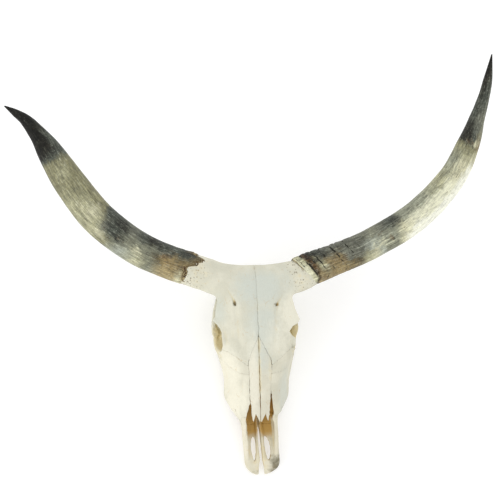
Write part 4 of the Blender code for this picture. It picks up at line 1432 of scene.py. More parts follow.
class Wiring:
    """Places the nodes of a tree and joins them."""

    def __init__(self, tree: Tree) -> None:
        """Take a tree to work in."""
        self.tree = tree

    def node(self, kind: str, *values: object, **settings: object) -> Node:
        """Place a node.

        Args:
            kind: Type of the node.
            values: Signals or constants for its inputs in use, in order, with None to leave one alone.
            settings: Properties of the node.

        Returns:
            The node.
        """
        node = self.tree.nodes.new(kind)
        for word, setting in settings.items():
            setattr(node, word, setting)
        for socket, value in zip([socket for socket in node.inputs if socket.enabled], values):
            self.feed(socket, value)
        return node

    def feed(self, socket: Socket, value: object) -> None:
        """Link a socket to a signal, or set its value.

        Args:
            socket: An input.
            value: A signal, a number, a triple or a material.
        """
        if isinstance(value, Signal):
            self.tree.links.new(value.socket, socket)
        elif value is not None:
            socket.default_value = value

    def out(self, kind: str, *values: object, **settings: object) -> Signal:
        """Place a node as node does, and return its first output."""
        node = self.node(kind, *values, **settings)
        return Signal(self, next(socket for socket in node.outputs if socket.enabled))

    def named(self, kind: str, inputs: dict[str, object], **settings: object) -> dict[str, Signal]:
        """Place a node with inputs by name, and return its outputs by name.

        Args:
            kind: Type of the node.
            inputs: Values by the names of its inputs.
            settings: Properties of the node.

        Returns:
            Its outputs by name.
        """
        node = self.node(kind, **settings)
        for word, value in inputs.items():
            self.feed(node.inputs[word], value)
        return {socket.name: Signal(self, socket) for socket in node.outputs if socket.enabled}

    def math(self, operation: str, *values: object, clamp: bool = False) -> Signal:
        """Place a math node."""
        return self.out("ShaderNodeMath", *values, operation=operation, use_clamp=clamp)

    def vector(self, operation: str, *values: object) -> Signal:
        """Place a vector math node."""
        return self.out("ShaderNodeVectorMath", *values, operation=operation)

    def joined(self, operation: str, first: object, second: object) -> Signal:
        """Join two values with a math node, or with a vector math node where one is a vector.

        Args:
            operation: Name of the sum or product.
            first: A signal, number or triple.
            second: Another.

        Returns:
            The result.
        """
        wide = [isinstance(value, tuple) or isinstance(value, Signal) and value.is_vector()
                for value in (first, second)]
        if not any(wide):
            return self.math(operation, first, second)
        return self.vector(operation if all(wide) else "SCALE", first, second)

    def triple(self, x: object, y: object, z: object) -> Signal:
        """Join three numbers into a vector."""
        return self.out("ShaderNodeCombineXYZ", x, y, z)

    def mix(self, share: object, first: object, second: object) -> Signal:
        """Mix two colours."""
        return self.out("ShaderNodeMix", share, first, second, data_type="RGBA")

    def shaded(self, colour: Signal, shade: Signal) -> Signal:
        """Darken or lighten a colour by a factor."""
        grey = self.out("ShaderNodeCombineColor", shade, shade, shade)
        return self.out("ShaderNodeMix", 1.0, colour, grey, data_type="RGBA", blend_type="MULTIPLY")

    def attribute(self, name: str, output: str = "Fac") -> Signal:
        """Read an attribute of the surface in a shader."""
        return self.named("ShaderNodeAttribute", {}, attribute_name=name)[output]

    def stored(self, name: str, kind: str = "FLOAT") -> Signal:
        """Read an attribute in geometry nodes."""
        return self.out("GeometryNodeInputNamedAttribute", name, data_type=kind)

    def group(self, tree: Tree, inputs: dict[str, object]) -> dict[str, Signal]:
        """Place a node group with inputs by name, and return its outputs by name."""
        return self.named("ShaderNodeGroup", inputs, node_tree=tree)

    def close(self, shape: Signal, material: Signal) -> Signal:
        """Smooth a shape, make its instances real and give it its material.

        Args:
            shape: The geometry.
            material: Its material.

        Returns:
            The finished geometry.
        """
        shape = self.out("GeometryNodeSetShadeSmooth", shape, None, True)
        shape = self.out("GeometryNodeRealizeInstances", shape)
        return self.out("GeometryNodeSetMaterial", shape, None, material)

    def deliver(self, **results: Signal) -> Tree:
        """Give the tree its outputs by name, and return it.

        Args:
            results: Signals by the names of the outputs.

        Returns:
            The tree.
        """
        for word, signal in results.items():
            kind = f"NodeSocket{OUTPUT_KINDS[signal.socket.type]}"
            self.tree.interface.new_socket(name=word, in_out="OUTPUT", socket_type=kind)
        self.node("NodeGroupOutput", *results.values())
        return self.tree


def new_tree(name: str, kind: str, **inputs: tuple[str, ...]) -> tuple[Wiring, dict[str, Signal]]:
    """Make a node tree with named inputs.

    Args:
        name: Name of the tree.
        kind: ShaderNodeTree or GeometryNodeTree.
        inputs: Names of the inputs of each kind.

    Returns:
        The wiring, and what the inputs bring, by name.
    """
    tree = bpy.data.node_groups.new(name, kind)
    for sort, words in inputs.items():
        for word in words:
            kind = f"NodeSocket{SOCKET_KINDS[sort]}"
            tree.interface.new_socket(name=word, in_out="INPUT", socket_type=kind)
    wiring = Wiring(tree)
    return wiring, wiring.named("NodeGroupInput", {})


def run_tree(name: str, host: Mesh, tree: Tree, values: dict[str, object]) -> Piece:
    """Run a geometry tree on a mesh.

    Args:
        name: Name of the new mesh.
        host: The mesh that goes in.
        tree: The geometry tree.
        values: Its inputs by name.

    Returns:
        The plain mesh that comes out, as an object with its faces outwards.
    """
    holder = bpy.data.objects.new("holder", host)
    bpy.context.collection.objects.link(holder)
    modifier = holder.modifiers.new("shape", "NODES")
    modifier.node_group = tree
    for item in tree.interface.items_tree:
        if item.in_out == "INPUT" and item.name in values:
            modifier[item.identifier] = values[item.name]
    evaluated = holder.evaluated_get(bpy.context.evaluated_depsgraph_get())
    result = bpy.data.meshes.new_from_object(evaluated)
    result.name = name
    holder.modifiers.remove(modifier)
    bpy.data.objects.remove(holder)
    if enclosed_volume(result) < 0.0:
        result.flip_normals()
    return add_object(result)


def enclosed_volume(mesh: Mesh) -> float:
    """Return a mesh's volume, below zero where its faces point inwards.

    Args:
        mesh: A closed mesh.

    Returns:
        The volume, negative where the faces look inwards.
    """
    shape = bmesh.new()
    shape.from_mesh(mesh)
    volume = shape.calc_volume(signed=True)
    shape.free()
    return volume


# --- Horn sheaths -----------------------------------------------------------------------------------------

def sheath_tree() -> Tree:
    """Make the geometry tree that grows a horn sheath along its middle line.

    Returns:
        The tree. Its shape input is a line with the attributes thickness and rings.
    """
    wiring, given = new_tree("horn sheath", "GeometryNodeTree", shape=("Middle line",), value=(
        "Length", "Rim place", "Rim radius", "Rim slant up", "Rim slant front", "Rim tears", "Rim step",
        "Tongue", "Flake reach", "Flake depth", "Wall", "Lip depth", "Lip share", "Lower gather",
        "Ridge height", "Lump height", "Inner side", "Seed",
    ), count=("Columns", "Rows"), vector=("Out of forehead",), material=("Material",))
    line = wiring.out("GeometryNodeMeshToCurve", given["Middle line"])
    across, along, _ = wiring.out("GeometryNodeInputPosition").split()
    angle = (across + 0.5) * math.tau
    row = along + 0.5
    up, front = wiring.math("COSINE", angle), wiring.math("SINE", angle)
    circle = wiring.triple(up, front, given["Seed"])

    # rows first run out along the inner wall, then over the rim and up the outside to the tip
    lip = given["Lip share"]
    inner = wiring.math("DIVIDE", row, lip, clamp=True)
    outer = wiring.math("POWER", wiring.math("DIVIDE", row - lip, 1.0 - lip, clamp=True), 1.3)
    tears = circle.noise(2.6, 6.0, 0.72, 0.3) - 0.5
    slant = up * given["Rim slant up"] + front * given["Rim slant front"]
    ragged = up + tears * 0.3
    rim = given["Rim place"] - slant * given["Rim radius"] + tears * given["Rim tears"]
    off_tongue = wiring.math("ABSOLUTE", ragged - 0.7)
    rim = rim - ragged.ramp(0.0, 0.36) * given["Rim step"] - off_tongue.ramp(0.2, 0.1) * given["Tongue"]
    from_rim = outer * (given["Length"] - rim)
    place = rim + (1.0 - inner) * given["Lip depth"] + from_rim

    def sampled(name: str, at: Signal) -> dict[str, Signal]:
        """Sample the middle line and one of its attributes at a length."""
        inputs = {"Curves": line, "Value": wiring.stored(name), "Length": at}
        return wiring.named("GeometryNodeSampleCurve", inputs, mode="LENGTH", data_type="FLOAT")

    spot = sampled("thickness", place)
    radius, tangent = spot["Value"], spot["Tangent"]
    side = wiring.vector("CROSS_PRODUCT", given["Out of forehead"], tangent)
    side = wiring.vector("NORMALIZE", side) * given["Inner side"]
    face = wiring.vector("NORMALIZE", wiring.vector("CROSS_PRODUCT", tangent, side)) * given["Inner side"]
    outward = side * up + face * front

    # growth rings stand parallel to the rim, and gather on the lower side
    waver = (circle.noise(1.6, 7.0, 0.68) - 0.5) * 0.012
    ring_place = from_rim + up.ramp(-0.55, -1.0) * given["Lower gather"] + waver
    cells = wiring.triple(up, front, ring_place * 26.0)
    ring = sampled("rings", ring_place)["Value"] * up.ramp(-0.6, 0.5, 0.3, 1.0)
    ring = ring * cells.noise(2.2, 3.0, 0.6).ramp(0.42, 0.58, 0.05, 1.2)

    # fibres and lumps, and two layers that have flaked off near the rim
    fibre = wiring.triple(place, up * radius, front * radius)
    seeded = fibre + wiring.triple(0.0, 0.0, given["Seed"])
    ridges = (seeded * (6.0, 170.0, 170.0)).noise(1.0, 4.0, 0.6) - 0.5
    lumps = seeded.noise(22.0) - 0.5
    rough = ridges * given["Ridge height"] + lumps * given["Lump height"]
    layers = []
    for share, turn in ((0.9, 0.0), (0.4, 3.0)):
        scraps = ((seeded + (turn, 0.0, 0.0)) * (60.0, 110.0, 110.0)).noise(1.0, 5.0, 0.65)
        edge = from_rim + (scraps - 0.5) * 2.4 * given["Flake reach"]
        middle = given["Flake reach"] * share
        layers.append(edge.ramp(middle + 0.0008, middle - 0.0008))
    flakes = (layers[0] + layers[1]) * (given["Flake depth"] * -0.5)
    rise = rough * radius.ramp(0.0, 0.02) + flakes + ring
    worn = outer.ramp(0.0, 0.006, -0.3, 0.0) * given["Wall"]
    thin = inner.ramp(0.7, 1.0, -0.7, 0.0) * given["Wall"]
    ends = wiring.math("GREATER_THAN", row, 0.0005) * wiring.math("LESS_THAN", row, 0.9995)
    reach = (radius + rise + (worn + thin)) * ends

    # what the finish reads; near the rim, places along the horn follow the rings
    settled = from_rim.ramp(0.06, 0.2)
    along_horn = settled * place + (1.0 - settled) * (given["Rim place"] + ring_place)
    shape = wiring.out("GeometryNodeMeshGrid", 1.0, 1.0, given["Columns"], given["Rows"])
    for name, value, kind in (
        ("along", along_horn, "FLOAT"), ("rim", from_rim, "FLOAT"), ("upper", up, "FLOAT"),
        ("front", front, "FLOAT"), ("ring", ring, "FLOAT"), ("lip", 1.0 - inner, "FLOAT"),
        ("fibre", fibre, "FLOAT_VECTOR"),
    ):
        sort = {"data_type": kind, "domain": "POINT"}
        shape = wiring.out("GeometryNodeStoreNamedAttribute", shape, None, name, value, **sort)
    shape = wiring.out("GeometryNodeSetPosition", shape, None, spot["Position"] + outward * reach)
    shape = wiring.out("GeometryNodeMergeByDistance", shape, None, 0.00002)
    return wiring.deliver(Sheath=wiring.close(shape, given["Material"]))


@dataclass(frozen=True)
class GrowthRing:
    """A furrow round the horn with a step behind it, in millimetres from the rim."""

    place: float
    depth: float
    width: float
    step: float


@dataclass(frozen=True)
class Horn:
    """A horn sheath.

    Attributes:
        side: Which horn.
        knots: Middle line as X, Y, Z and radius in the face frame.
        rim_point: A point of the plane that the rim lies in.
        rim_facing: Direction of that plane, out along the horn.
        tears: How far the torn rim goes in and out.
        rings: Its growth rings.
        gather: How much nearer the rings lie to the rim on the lower side.
        ridge: Height of the fibre ridges.
        seed: Which noise.
        rim_step: How far the rim's upper side reaches beyond its lower side.
        tongue: How far a strip near the upper edge reaches over the rim.
        flake_reach: How far from the rim its outer layers have flaked off.
        flake_depth: How much they leave lower.
        wall: Thickness of the sheath at the rim.
        lip_depth: How far its inner wall goes in.
        lump: Height of the wide lumps.
        columns: Faces round the horn.
        rows: Points along it, with those of the inner wall.
        lip_rows: Points along the inner wall.
        line_step: From one point of the middle line to the next.
    """

    side: Side
    knots: tuple[tuple[float, float, float, float], ...]
    rim_point: Point
    rim_facing: Point
    tears: float
    rings: tuple[GrowthRing, ...]
    gather: float
    ridge: float
    seed: float
    rim_step: float
    tongue: float
    flake_reach: float
    flake_depth: float = 1.9
    wall: float = 2.6
    lip_depth: float = 14.0
    lump: float = 2.0
    columns: int = 168
    rows: int = 440
    lip_rows: int = 12
    line_step: float = 1.5

    def middle_line(self) -> tuple[Array, Array]:
        """Return evenly spaced points of the middle line with radii, and their lengths from its start.

        Returns:
            Rows of X, Y, Z and radius in metres, and the length up to each.
        """
        dense = smooth_line(self.knots, 60)
        lengths = np.concatenate([[0.0], np.cumsum(np.linalg.norm(np.diff(dense[:, :3], axis=0), axis=1))])
        even = np.linspace(0.0, lengths[-1], round(lengths[-1] / self.line_step) + 1)
        return np.stack([np.interp(even, lengths, column) for column in dense.T], axis=1), even

    def ring_profile(self, lengths: Array) -> Array:
        """Return how far the surface stands out at each length from the rim.

        Args:
            lengths: Metres from the start of the sheath.

        Returns:
            A height for each.
        """
        total = 0.0 * lengths
        for ring in self.rings:
            away = lengths - ring.place
            total = total - ring.depth * np.exp(-(away / ring.width) ** 2)
            total = total + ring.step * np.clip(away / 2.0, 0.0, 1.0) * np.exp(-np.maximum(away, 0.0) / 14.0)
        return total

    def build(self, tree: Tree, finish: Material) -> Piece:
        """Grow the sheath.

        Args:
            tree: The geometry tree of horn sheaths.
            finish: The horn's material.

        Returns:
            The piece.
        """
        line, lengths = self.middle_line()
        host = bpy.data.meshes.new("middle_line")
        host.from_pydata(lay_down(line[:, :3]).tolist(), [(i, i + 1) for i in range(len(line) - 1)], [])
        paint(host, "thickness", line[:, 3] * MM)
        paint(host, "rings", self.ring_profile(lengths) * MM)
        facing = np.array(self.rim_facing)
        spot = int(np.argmin(np.abs((line[:, :3] - np.array(self.rim_point)) @ facing)))
        tangent = line[spot + 2, :3] - line[spot - 2, :3]
        tangent = tangent / np.linalg.norm(tangent)
        up = np.cross((0.0, 0.0, 1.0), tangent) * self.side.value
        ahead = np.cross(tangent, up) * self.side.value
        sizes = {
            "Length": lengths[-1], "Rim place": lengths[spot], "Rim radius": line[spot, 3],
            "Rim tears": self.tears, "Rim step": self.rim_step, "Tongue": self.tongue,
            "Flake reach": self.flake_reach, "Flake depth": self.flake_depth, "Wall": self.wall,
            "Lip depth": self.lip_depth, "Lower gather": self.gather, "Ridge height": self.ridge,
            "Lump height": self.lump,
        }
        return run_tree(f"horn_sheath_{self.side.word}", host, tree, {
            **{word: size * MM for word, size in sizes.items()}, "Columns": self.columns + 1,
            "Rows": self.rows, "Lip share": self.lip_rows / (self.rows - 1),
            "Rim slant up": float(up @ facing / (tangent @ facing)),
            "Rim slant front": float(ahead @ facing / (tangent @ facing)),
            "Out of forehead": tuple(REST_TURN @ Vector((0.0, 0.0, 1.0))),
            "Inner side": float(self.side.value), "Seed": self.seed, "Material": finish,
        })


HORNS = (
    Horn(Side.LEFT, (
        (-92, -30, -66, 41), (-149, -11, -68, 42.8), (-227.5, 18, -62, 42), (-302.5, 57, -48, 42.3),
        (-386.5, 126, -28, 42.6), (-451, 212, -11, 39.3), (-493, 281, -6, 32.2), (-522.5, 328, -8, 22.3),
        (-553, 366, -17, 14.7), (-580, 387.5, -27, 9.0), (-606, 405, -36, 1.2),
    ), (-172, -2, -68), (-1.0, 0.08, 0.0), 24.0, (
        GrowthRing(9, 1.3, 1.8, 0.7), GrowthRing(34, 0.9, 2.4, 0.5), GrowthRing(60, 0.7, 2.4, 0.4),
    ), 0.0, 1.6, 3.0, 32.0, 22.0, 17.0),
    Horn(Side.RIGHT, (
        (94, -34, -66, 41), (154, -13, -68, 42.4), (215, 8, -65, 39.4), (306.5, 46, -50, 38.6),
        (418, 113, -28, 38), (504.5, 204, -6, 34.4), (546.5, 289, 8, 28.3), (568, 350, 15, 19.6),
        (585, 400, 19, 15.0), (598, 452, 22, 10.8), (609, 514, 25, 1.2),
    ), (128, -24, -68), (0.76, 0.65, 0.0), 4.0, (
        GrowthRing(7, 1.3, 1.3, 0.5), GrowthRing(13, 1.0, 1.2, 0.3), GrowthRing(22, 4.0, 3.4, 1.7),
        GrowthRing(37, 1.9, 2.0, 0.6), GrowthRing(51, 3.2, 2.8, 1.5), GrowthRing(71, 2.7, 2.6, 1.2),
        GrowthRing(81, 1.5, 1.8, 0.3), GrowthRing(103, 3.1, 2.9, 1.5), GrowthRing(117, 1.5, 1.9, 0.5),
        GrowthRing(139, 2.1, 2.4, 0.9), GrowthRing(163, 1.0, 2.0, 0.4),
    ), 16.0, 1.6, 11.0, 0.0, 0.0, 5.0),
)


# --- Teeth ------------------------------------------------------------------------------------------------

@dataclass(frozen=True)
class Crown:
    """A mould for teeth of one kind: it stands on the floor, 1 mm for each millimetre of a middling tooth.

    Attributes:
        lobes: How many lobes lie along the row.
        width: Across the row.
        length: Along the row.
        root: Height over the floor.
        cell: Grid spacing of its clay.
    """

    lobes: int
    width: float = 20.0
    length: float = 25.0
    root: float = 36.0
    cell: float = 0.75

    def build(self, name: str) -> Piece:
        """Shape the crown in clay of its own.

        Args:
            name: Name of the mould.

        Returns:
            The mould.
        """
        half_x, half_y = 0.5 * self.width, 0.5 * self.length
        low = np.array((-half_x - 3, -half_y - 3, -3.0))
        clay = Clay(low, np.array((half_x + 3, half_y + 3, self.root + 3)), self.cell)
        x, y, z = clay.axes()
        pinch = 1.0 - 0.13 * np.cos(math.tau * self.lobes * y / self.length)
        ribs = 0.6 * np.cos(math.tau * (self.lobes + 0.5) * y / self.length) * (x > 0)
        side = np.abs(x) / (half_x * (0.86 + 0.14 * pinch) + ribs)
        ahead = np.abs(y) / half_y
        around = ((side ** 5 + ahead ** 5) ** 0.2 - 1.0) * min(half_x, half_y)
        around = around + 0.02 * (z - 4.0)
        clay.field = -soft_min(-around, -np.maximum(0.0 - z, z - self.root), 1.4)
        for lobe in range(self.lobes):
            middle = (lobe + 0.5) * self.length / self.lobes - half_y
            bend = x + 0.16 * (y - middle) ** 2 / (self.length / self.lobes) * 2.0
            pit = farthest(np.abs(bend + 1.5) - 1.1, z - 2.2,
                           np.abs(y - middle) - 0.32 * self.length / self.lobes)
            clay.field = np.maximum(clay.field, -pit)
        points, faces = clay.skin()
        points[:, 2] = np.maximum(points[:, 2], 0.0)
        return add_object(mesh_of(name, points * MM, faces))


def row_tree() -> Tree:
    """Make the geometry tree that sets moulded crowns on the points of a row.

    Returns:
        The tree.
    """
    wiring, given = new_tree("tooth row", "GeometryNodeTree", shape=("Row",), object=("Premolar", "Molar"),
                             material=("Material",))
    back, joined = wiring.stored("back"), wiring.node("GeometryNodeJoinGeometry")
    for mould, order in (("Premolar", "LESS_THAN"), ("Molar", "GREATER_THAN")):
        crown = wiring.named("GeometryNodeObjectInfo", {"Object": given[mould]})["Geometry"]
        crowns = wiring.named("GeometryNodeInstanceOnPoints", {
            "Points": given["Row"], "Selection": wiring.math(order, back, 0.5), "Instance": crown,
            "Scale": wiring.stored("size", "FLOAT_VECTOR"),
        })
        wiring.feed(joined.inputs[0], crowns["Instances"])
    return wiring.deliver(Teeth=wiring.close(Signal(wiring, joined.outputs[0]), given["Material"]))


@dataclass
class Teeth:
    """The two rows of cheek teeth, from the front tooth back.

    Attributes:
        lengths: Of each tooth, along the row.
        widths: Of each tooth, across the row.
        front: The Y at which the rows begin.
        side_front: How far the rows stand from the middle at the front.
        side_back: And at the back.
        gap: Between neighbouring teeth.
        molars: How many of the last teeth are molars.
    """

    lengths: tuple[float, ...] = (14.0, 18.0, 19.0, 24.0, 28.0, 29.0)
    widths: tuple[float, ...] = (13.0, 16.0, 18.0, 21.0, 22.0, 20.0)
    front: float = -368.0
    side_front: float = 53.0
    side_back: float = 61.0
    gap: float = 0.6
    molars: int = 3

    def build(self, finish: Material) -> dict[str, Piece]:
        """Set both rows of teeth.

        Args:
            finish: The teeth's material.

        Returns:
            The pieces by name.
        """
        crowns = {"Premolar": Crown(1, length=18.0), "Molar": Crown(2)}
        moulds = {word: crown.build(word.lower()) for word, crown in crowns.items()}
        tree = row_tree()
        pieces = {}
        for side in Side:
            places, sizes, back = [], [], []
            y = self.front
            for number, (length, width) in enumerate(zip(self.lengths, self.widths)):
                middle = y + 0.5 * length
                share = (middle - self.front) / sum(self.lengths)
                x = self.side_front + share * (self.side_back - self.side_front)
                floor = -(ZERO_POINT[2] + math.sin(REST_SLOPE) * middle) / math.cos(REST_SLOPE)
                places.append((side.value * x, middle, floor))
                molar = number >= len(self.lengths) - self.molars
                crown = crowns["Molar" if molar else "Premolar"]
                long = length / math.cos(REST_SLOPE) - self.gap
                sizes.append((side.value * width / crown.width, long / crown.length, 1.0))
                back.append(float(molar))
                y += length
            host = bpy.data.meshes.new("row")
            host.from_pydata(lay_down(np.array(places)).tolist(), [], [])
            paint(host, "size", np.array(sizes))
            paint(host, "back", np.array(back))
            word = f"teeth_{side.word}"
            pieces[word] = run_tree(word, host, tree, {**moulds, "Material": finish})
        for mould in moulds.values():
            bpy.data.objects.remove(mould)
        return pieces


# --- Finishes ---------------------------------------------------------------------------------------------

PORE_TONE = (118, 106, 78)


def tone(red: float, green: float, blue: float) -> tuple[float, float, float, float]:
    """Turn a colour of 0 to 255 as a screen shows it into a linear colour."""
    parts = (channel / 255.0 for channel in (red, green, blue))
    return (*(part / 12.92 if part <= 0.04045 else ((part + 0.055) / 1.055) ** 2.4 for part in parts), 1.0)


def new_material(name: str) -> tuple[Material, Wiring, Node]:
    """Make a material.

    Args:
        name: Name of the material.

    Returns:
        The material, the wiring of its tree, and its principled shader.
    """
    material = bpy.data.materials.new(name)
    material.use_nodes = True
    material.node_tree.nodes.clear()
    wiring = Wiring(material.node_tree)
    shader = wiring.node("ShaderNodeBsdfPrincipled")
    wiring.node("ShaderNodeOutputMaterial", Signal(wiring, shader.outputs[0]))
    return material, wiring, shader


def dress(wiring: Wiring, shader: Node, colour: Signal, roughness: Signal, height: Signal,
          specular: float = 0.5) -> None:
    """Feed a shader its colour and roughness, a height in millimetres, and how much it reflects.

    Args:
        wiring: The material's tree.
        shader: The shader.
        colour: Its colour.
        roughness: Its roughness.
        height: Height of its relief in millimetres.
        specular: How much it reflects.
    """
    relief = wiring.named("ShaderNodeBump", {"Strength": 1.0, "Distance": MM, "Height": height})["Normal"]
    for word, value in (("Base Color", colour), ("Roughness", roughness), ("Normal", relief),
                        ("Specular IOR Level", specular)):
        wiring.feed(shader.inputs[word], value)


def speckle_group() -> Tree:
    """Make the group that scatters small round specks of uneven size.

    Returns:
        The group's tree.
    """
    sizes = ("Per millimetre", "Size", "Share")
    wiring, given = new_tree("specks", "ShaderNodeTree", vector=("Place",), value=sizes)
    place, density = given["Place"], given["Per millimetre"]
    size = given["Size"] * place.noise(density * 0.7, 2.0).ramp(0.35, 0.65, 0.3, 1.3)
    return wiring.deliver(Specks=place.cells(density).ramp(size * 1.3, size * 0.5) * given["Share"])


def fibre_group() -> Tree:
    """Make the group of fine streaks that run along the first axis of a vector in millimetres.

    Returns:
        The group's tree.
    """
    sizes = ("Stretch", "Per millimetre")
    wiring, given = new_tree("fibres", "ShaderNodeTree", vector=("Place",), value=sizes)
    place = given["Place"] * wiring.triple(given["Stretch"], 1.0, 1.0) * given["Per millimetre"]
    return wiring.deliver(Streaks=place.noise(1.0, 4.0, 0.6, 0.2), Fine=place.noise(3.7, 3.0, 0.6))


def flake_group() -> Tree:
    """Make the group that splits a surface into flakes of uneven tone.

    Returns:
        The group's tree.
    """
    wiring, given = new_tree("flakes", "ShaderNodeTree", vector=("Place",), value=("Per millimetre",))
    place, density = given["Place"], given["Per millimetre"]
    bent = place + place.noise(density * 1.5, output="Color") * 7.0
    return wiring.deliver(Shade=wiring.out("ShaderNodeSeparateColor", bent.cells(density, output="Color")))


def bone_group(specks: Tree, fibres: Tree) -> Tree:
    """Make the group that gives weathered bone its colour, with painted shade in hollows and recesses, and
    its roughness and height.

    Args:
        specks: Group of small round specks.
        fibres: Group of fine streaks.

    Returns:
        The group's tree.
    """
    wiring, given = new_tree("weathered bone", "ShaderNodeTree", vector=("Place",), value=(
        "Grey share", "Pale share", "Ochre share", "Soot share", "Inside", "Hollow", "Shelter", "Pores",
    ), colour=("Main", "Pale", "Grey", "Ochre", "Deep", "Soot"))
    place, mix = given["Place"], wiring.mix
    x, y, z = place.split()
    grain = wiring.group(fibres, {"Place": wiring.triple(y, x, z), "Stretch": 0.16, "Per millimetre": 0.55})
    cloud = place.noise(0.021, 3.0, 0.55)
    mottle = place.noise(0.085, 4.0, 0.6, 0.4)
    fine = place.noise(0.5, 4.0, 0.65)

    def share(word: str, softness: float = 0.45) -> Signal:
        """Break up the edge of a painted mask with the mottling."""
        mask = given[f"{word} share"]
        return (mask + (mottle - 0.5) * 0.9).ramp(0.5 - softness, 0.5 + softness) * mask.ramp(0.0, 0.25)

    # pale and grey patches, some of them painted light and painted shade, then painted shade: ochre where
    # bone is sheltered or hollow, and the deep colour inside recesses together with their brown staining;
    # dark patches last, some of them painted shade
    colour = mix(cloud.ramp(0.38, 0.66, 0.0, 0.45), given["Main"], given["Pale"])
    colour = mix(share("Grey"), colour, given["Grey"])
    colour = mix(share("Pale"), colour, given["Pale"])
    colour = mix(share("Ochre", 0.35) * 0.75, colour, given["Ochre"])
    # painted shade: ochre in concave spots, and where bone hems the surface in
    colour = mix(given["Hollow"].ramp(0.06, 0.5) * 0.7, colour, given["Ochre"])
    shelter = given["Shelter"].ramp(0.05, 0.6) * mottle.ramp(0.2, 0.7, 0.4, 0.9)
    colour = mix(shelter * 0.55, colour, given["Ochre"])
    # painted shade inside recesses, together with the brown staining there
    colour = mix((given["Inside"] + (mottle - 0.5) * 0.5).ramp(0.25, 0.95), colour, given["Deep"])
    colour = mix(share("Soot", 0.3), colour, given["Soot"])
    streaks = grain["Streaks"].ramp(0.25, 0.75, -0.035, 0.02)
    colour = wiring.shaded(colour, fine.ramp(0.25, 0.75, 0.955, 1.03) + streaks)

    # pores and scuffs near the horns, stray holes, and hairline cracks
    porous = {"Place": place, "Per millimetre": 0.17, "Size": 0.27, "Share": given["Pores"]}
    scuffs = place.noise(0.2, 5.0, 0.7, 0.6).ramp(0.48, 0.66) * given["Pores"]
    colour = mix(scuffs * 0.22, colour, given["Ochre"])
    stray = wiring.group(specks, {"Place": place, "Per millimetre": 0.09, "Size": 0.055, "Share": 0.5})
    holes = wiring.math("MAXIMUM", wiring.group(specks, porous)["Specks"], stray["Specks"])
    colour = mix(holes * 0.85, colour, tone(*PORE_TONE))
    warp = place + place.noise(0.12, output="Color") * 9.0
    lines = (warp * (1.0, 0.5, 1.0)).cells(0.034, "DISTANCE_TO_EDGE").ramp(0.022, 0.006)
    lines = lines * mottle.ramp(0.5, 0.66)
    colour = mix(lines * 0.35, colour, given["Deep"])

    height = fine * 0.16 + grain["Fine"] * 0.12 + mottle * 0.5 - holes * 0.5 - lines * 0.25
    roughness = (fine + given["Hollow"]).ramp(0.2, 1.0, 0.62, 0.82)
    return wiring.deliver(Colour=colour, Roughness=roughness, Height=height)


@dataclass(frozen=True)
class BoneFinish:
    """Weathered bone with painted shade in its hollows, with colours as a screen shows them.

    Attributes:
        name: Name of the material.
        main: Its usual colour.
        pale: Where it is paler from bleaching, and as painted light on the right brow.
        grey: Where it has turned grey, and as painted shade on the left brow and the right cheek.
        ochre: Where dirt and fat have stained it, and as painted shade in hollows, in sheltered places and on
            the left brow.
        deep: Inside hollows and pores; inside recesses it is painted shade together with brown staining.
        soot: Of the darkest smudge, and of the painted shade in the holes over the orbits and down the right
            side of the nose.
    """

    name: str
    main: Colour
    pale: Colour
    grey: Colour = (204, 208, 197)
    ochre: Colour = (224, 206, 152)
    deep: Colour = (198, 160, 88)
    soot: Colour = (122, 116, 94)

    def build(self, group: Tree) -> Material:
        """Make the material from the group of weathered bone and painted shade.

        Args:
            group: The tree of weathered bone and painted shade.

        Returns:
            The material.
        """
        material, wiring, shader = new_material(self.name)
        words = ("Main", "Pale", "Grey", "Ochre", "Deep", "Soot")
        values = {word: tone(*getattr(self, word.lower())) for word in words}
        # the hollow, shelter and inside masks are painted shade, inside together with brown staining, and
        # some of the pale, grey, ochre and dark patches are painted light and painted shade
        values |= {word: wiring.attribute(name) for word, name in (
            ("Grey share", "greyed"), ("Pale share", "bleached"), ("Ochre share", "stained"),
            ("Soot share", "sooty"), ("Inside", "inside"), ("Hollow", "hollow"), ("Shelter", "shelter"),
            ("Pores", "porous"),
        )}
        surface = wiring.group(group, {**values, "Place": wiring.attribute("place", "Vector")})
        dress(wiring, shader, surface["Colour"], surface["Roughness"], surface["Height"], 0.35)
        return material


class HornTone(Enum):
    """Colours of the horns, as a screen shows them."""

    BLACK = (24, 24, 19)
    SOOT = (46, 45, 37)
    SLATE = (82, 86, 77)
    SMOKE = (110, 111, 98)
    ASH = (138, 139, 119)
    MIST = (176, 181, 166)
    UMBER = (66, 45, 25)
    RUST = (108, 86, 54)
    BROWN = (108, 98, 72)
    TAN = (140, 125, 90)
    HONEY = (160, 141, 98)
    SAND = (180, 163, 120)
    OLIVE = (142, 139, 107)
    PEWTER = (152, 154, 134)
    STRAW = (176, 174, 141)
    CREAM = (212, 209, 176)
    IVORY = (232, 231, 203)
    CHALK = (255, 255, 238)


Stops = tuple[tuple[float, HornTone], ...]


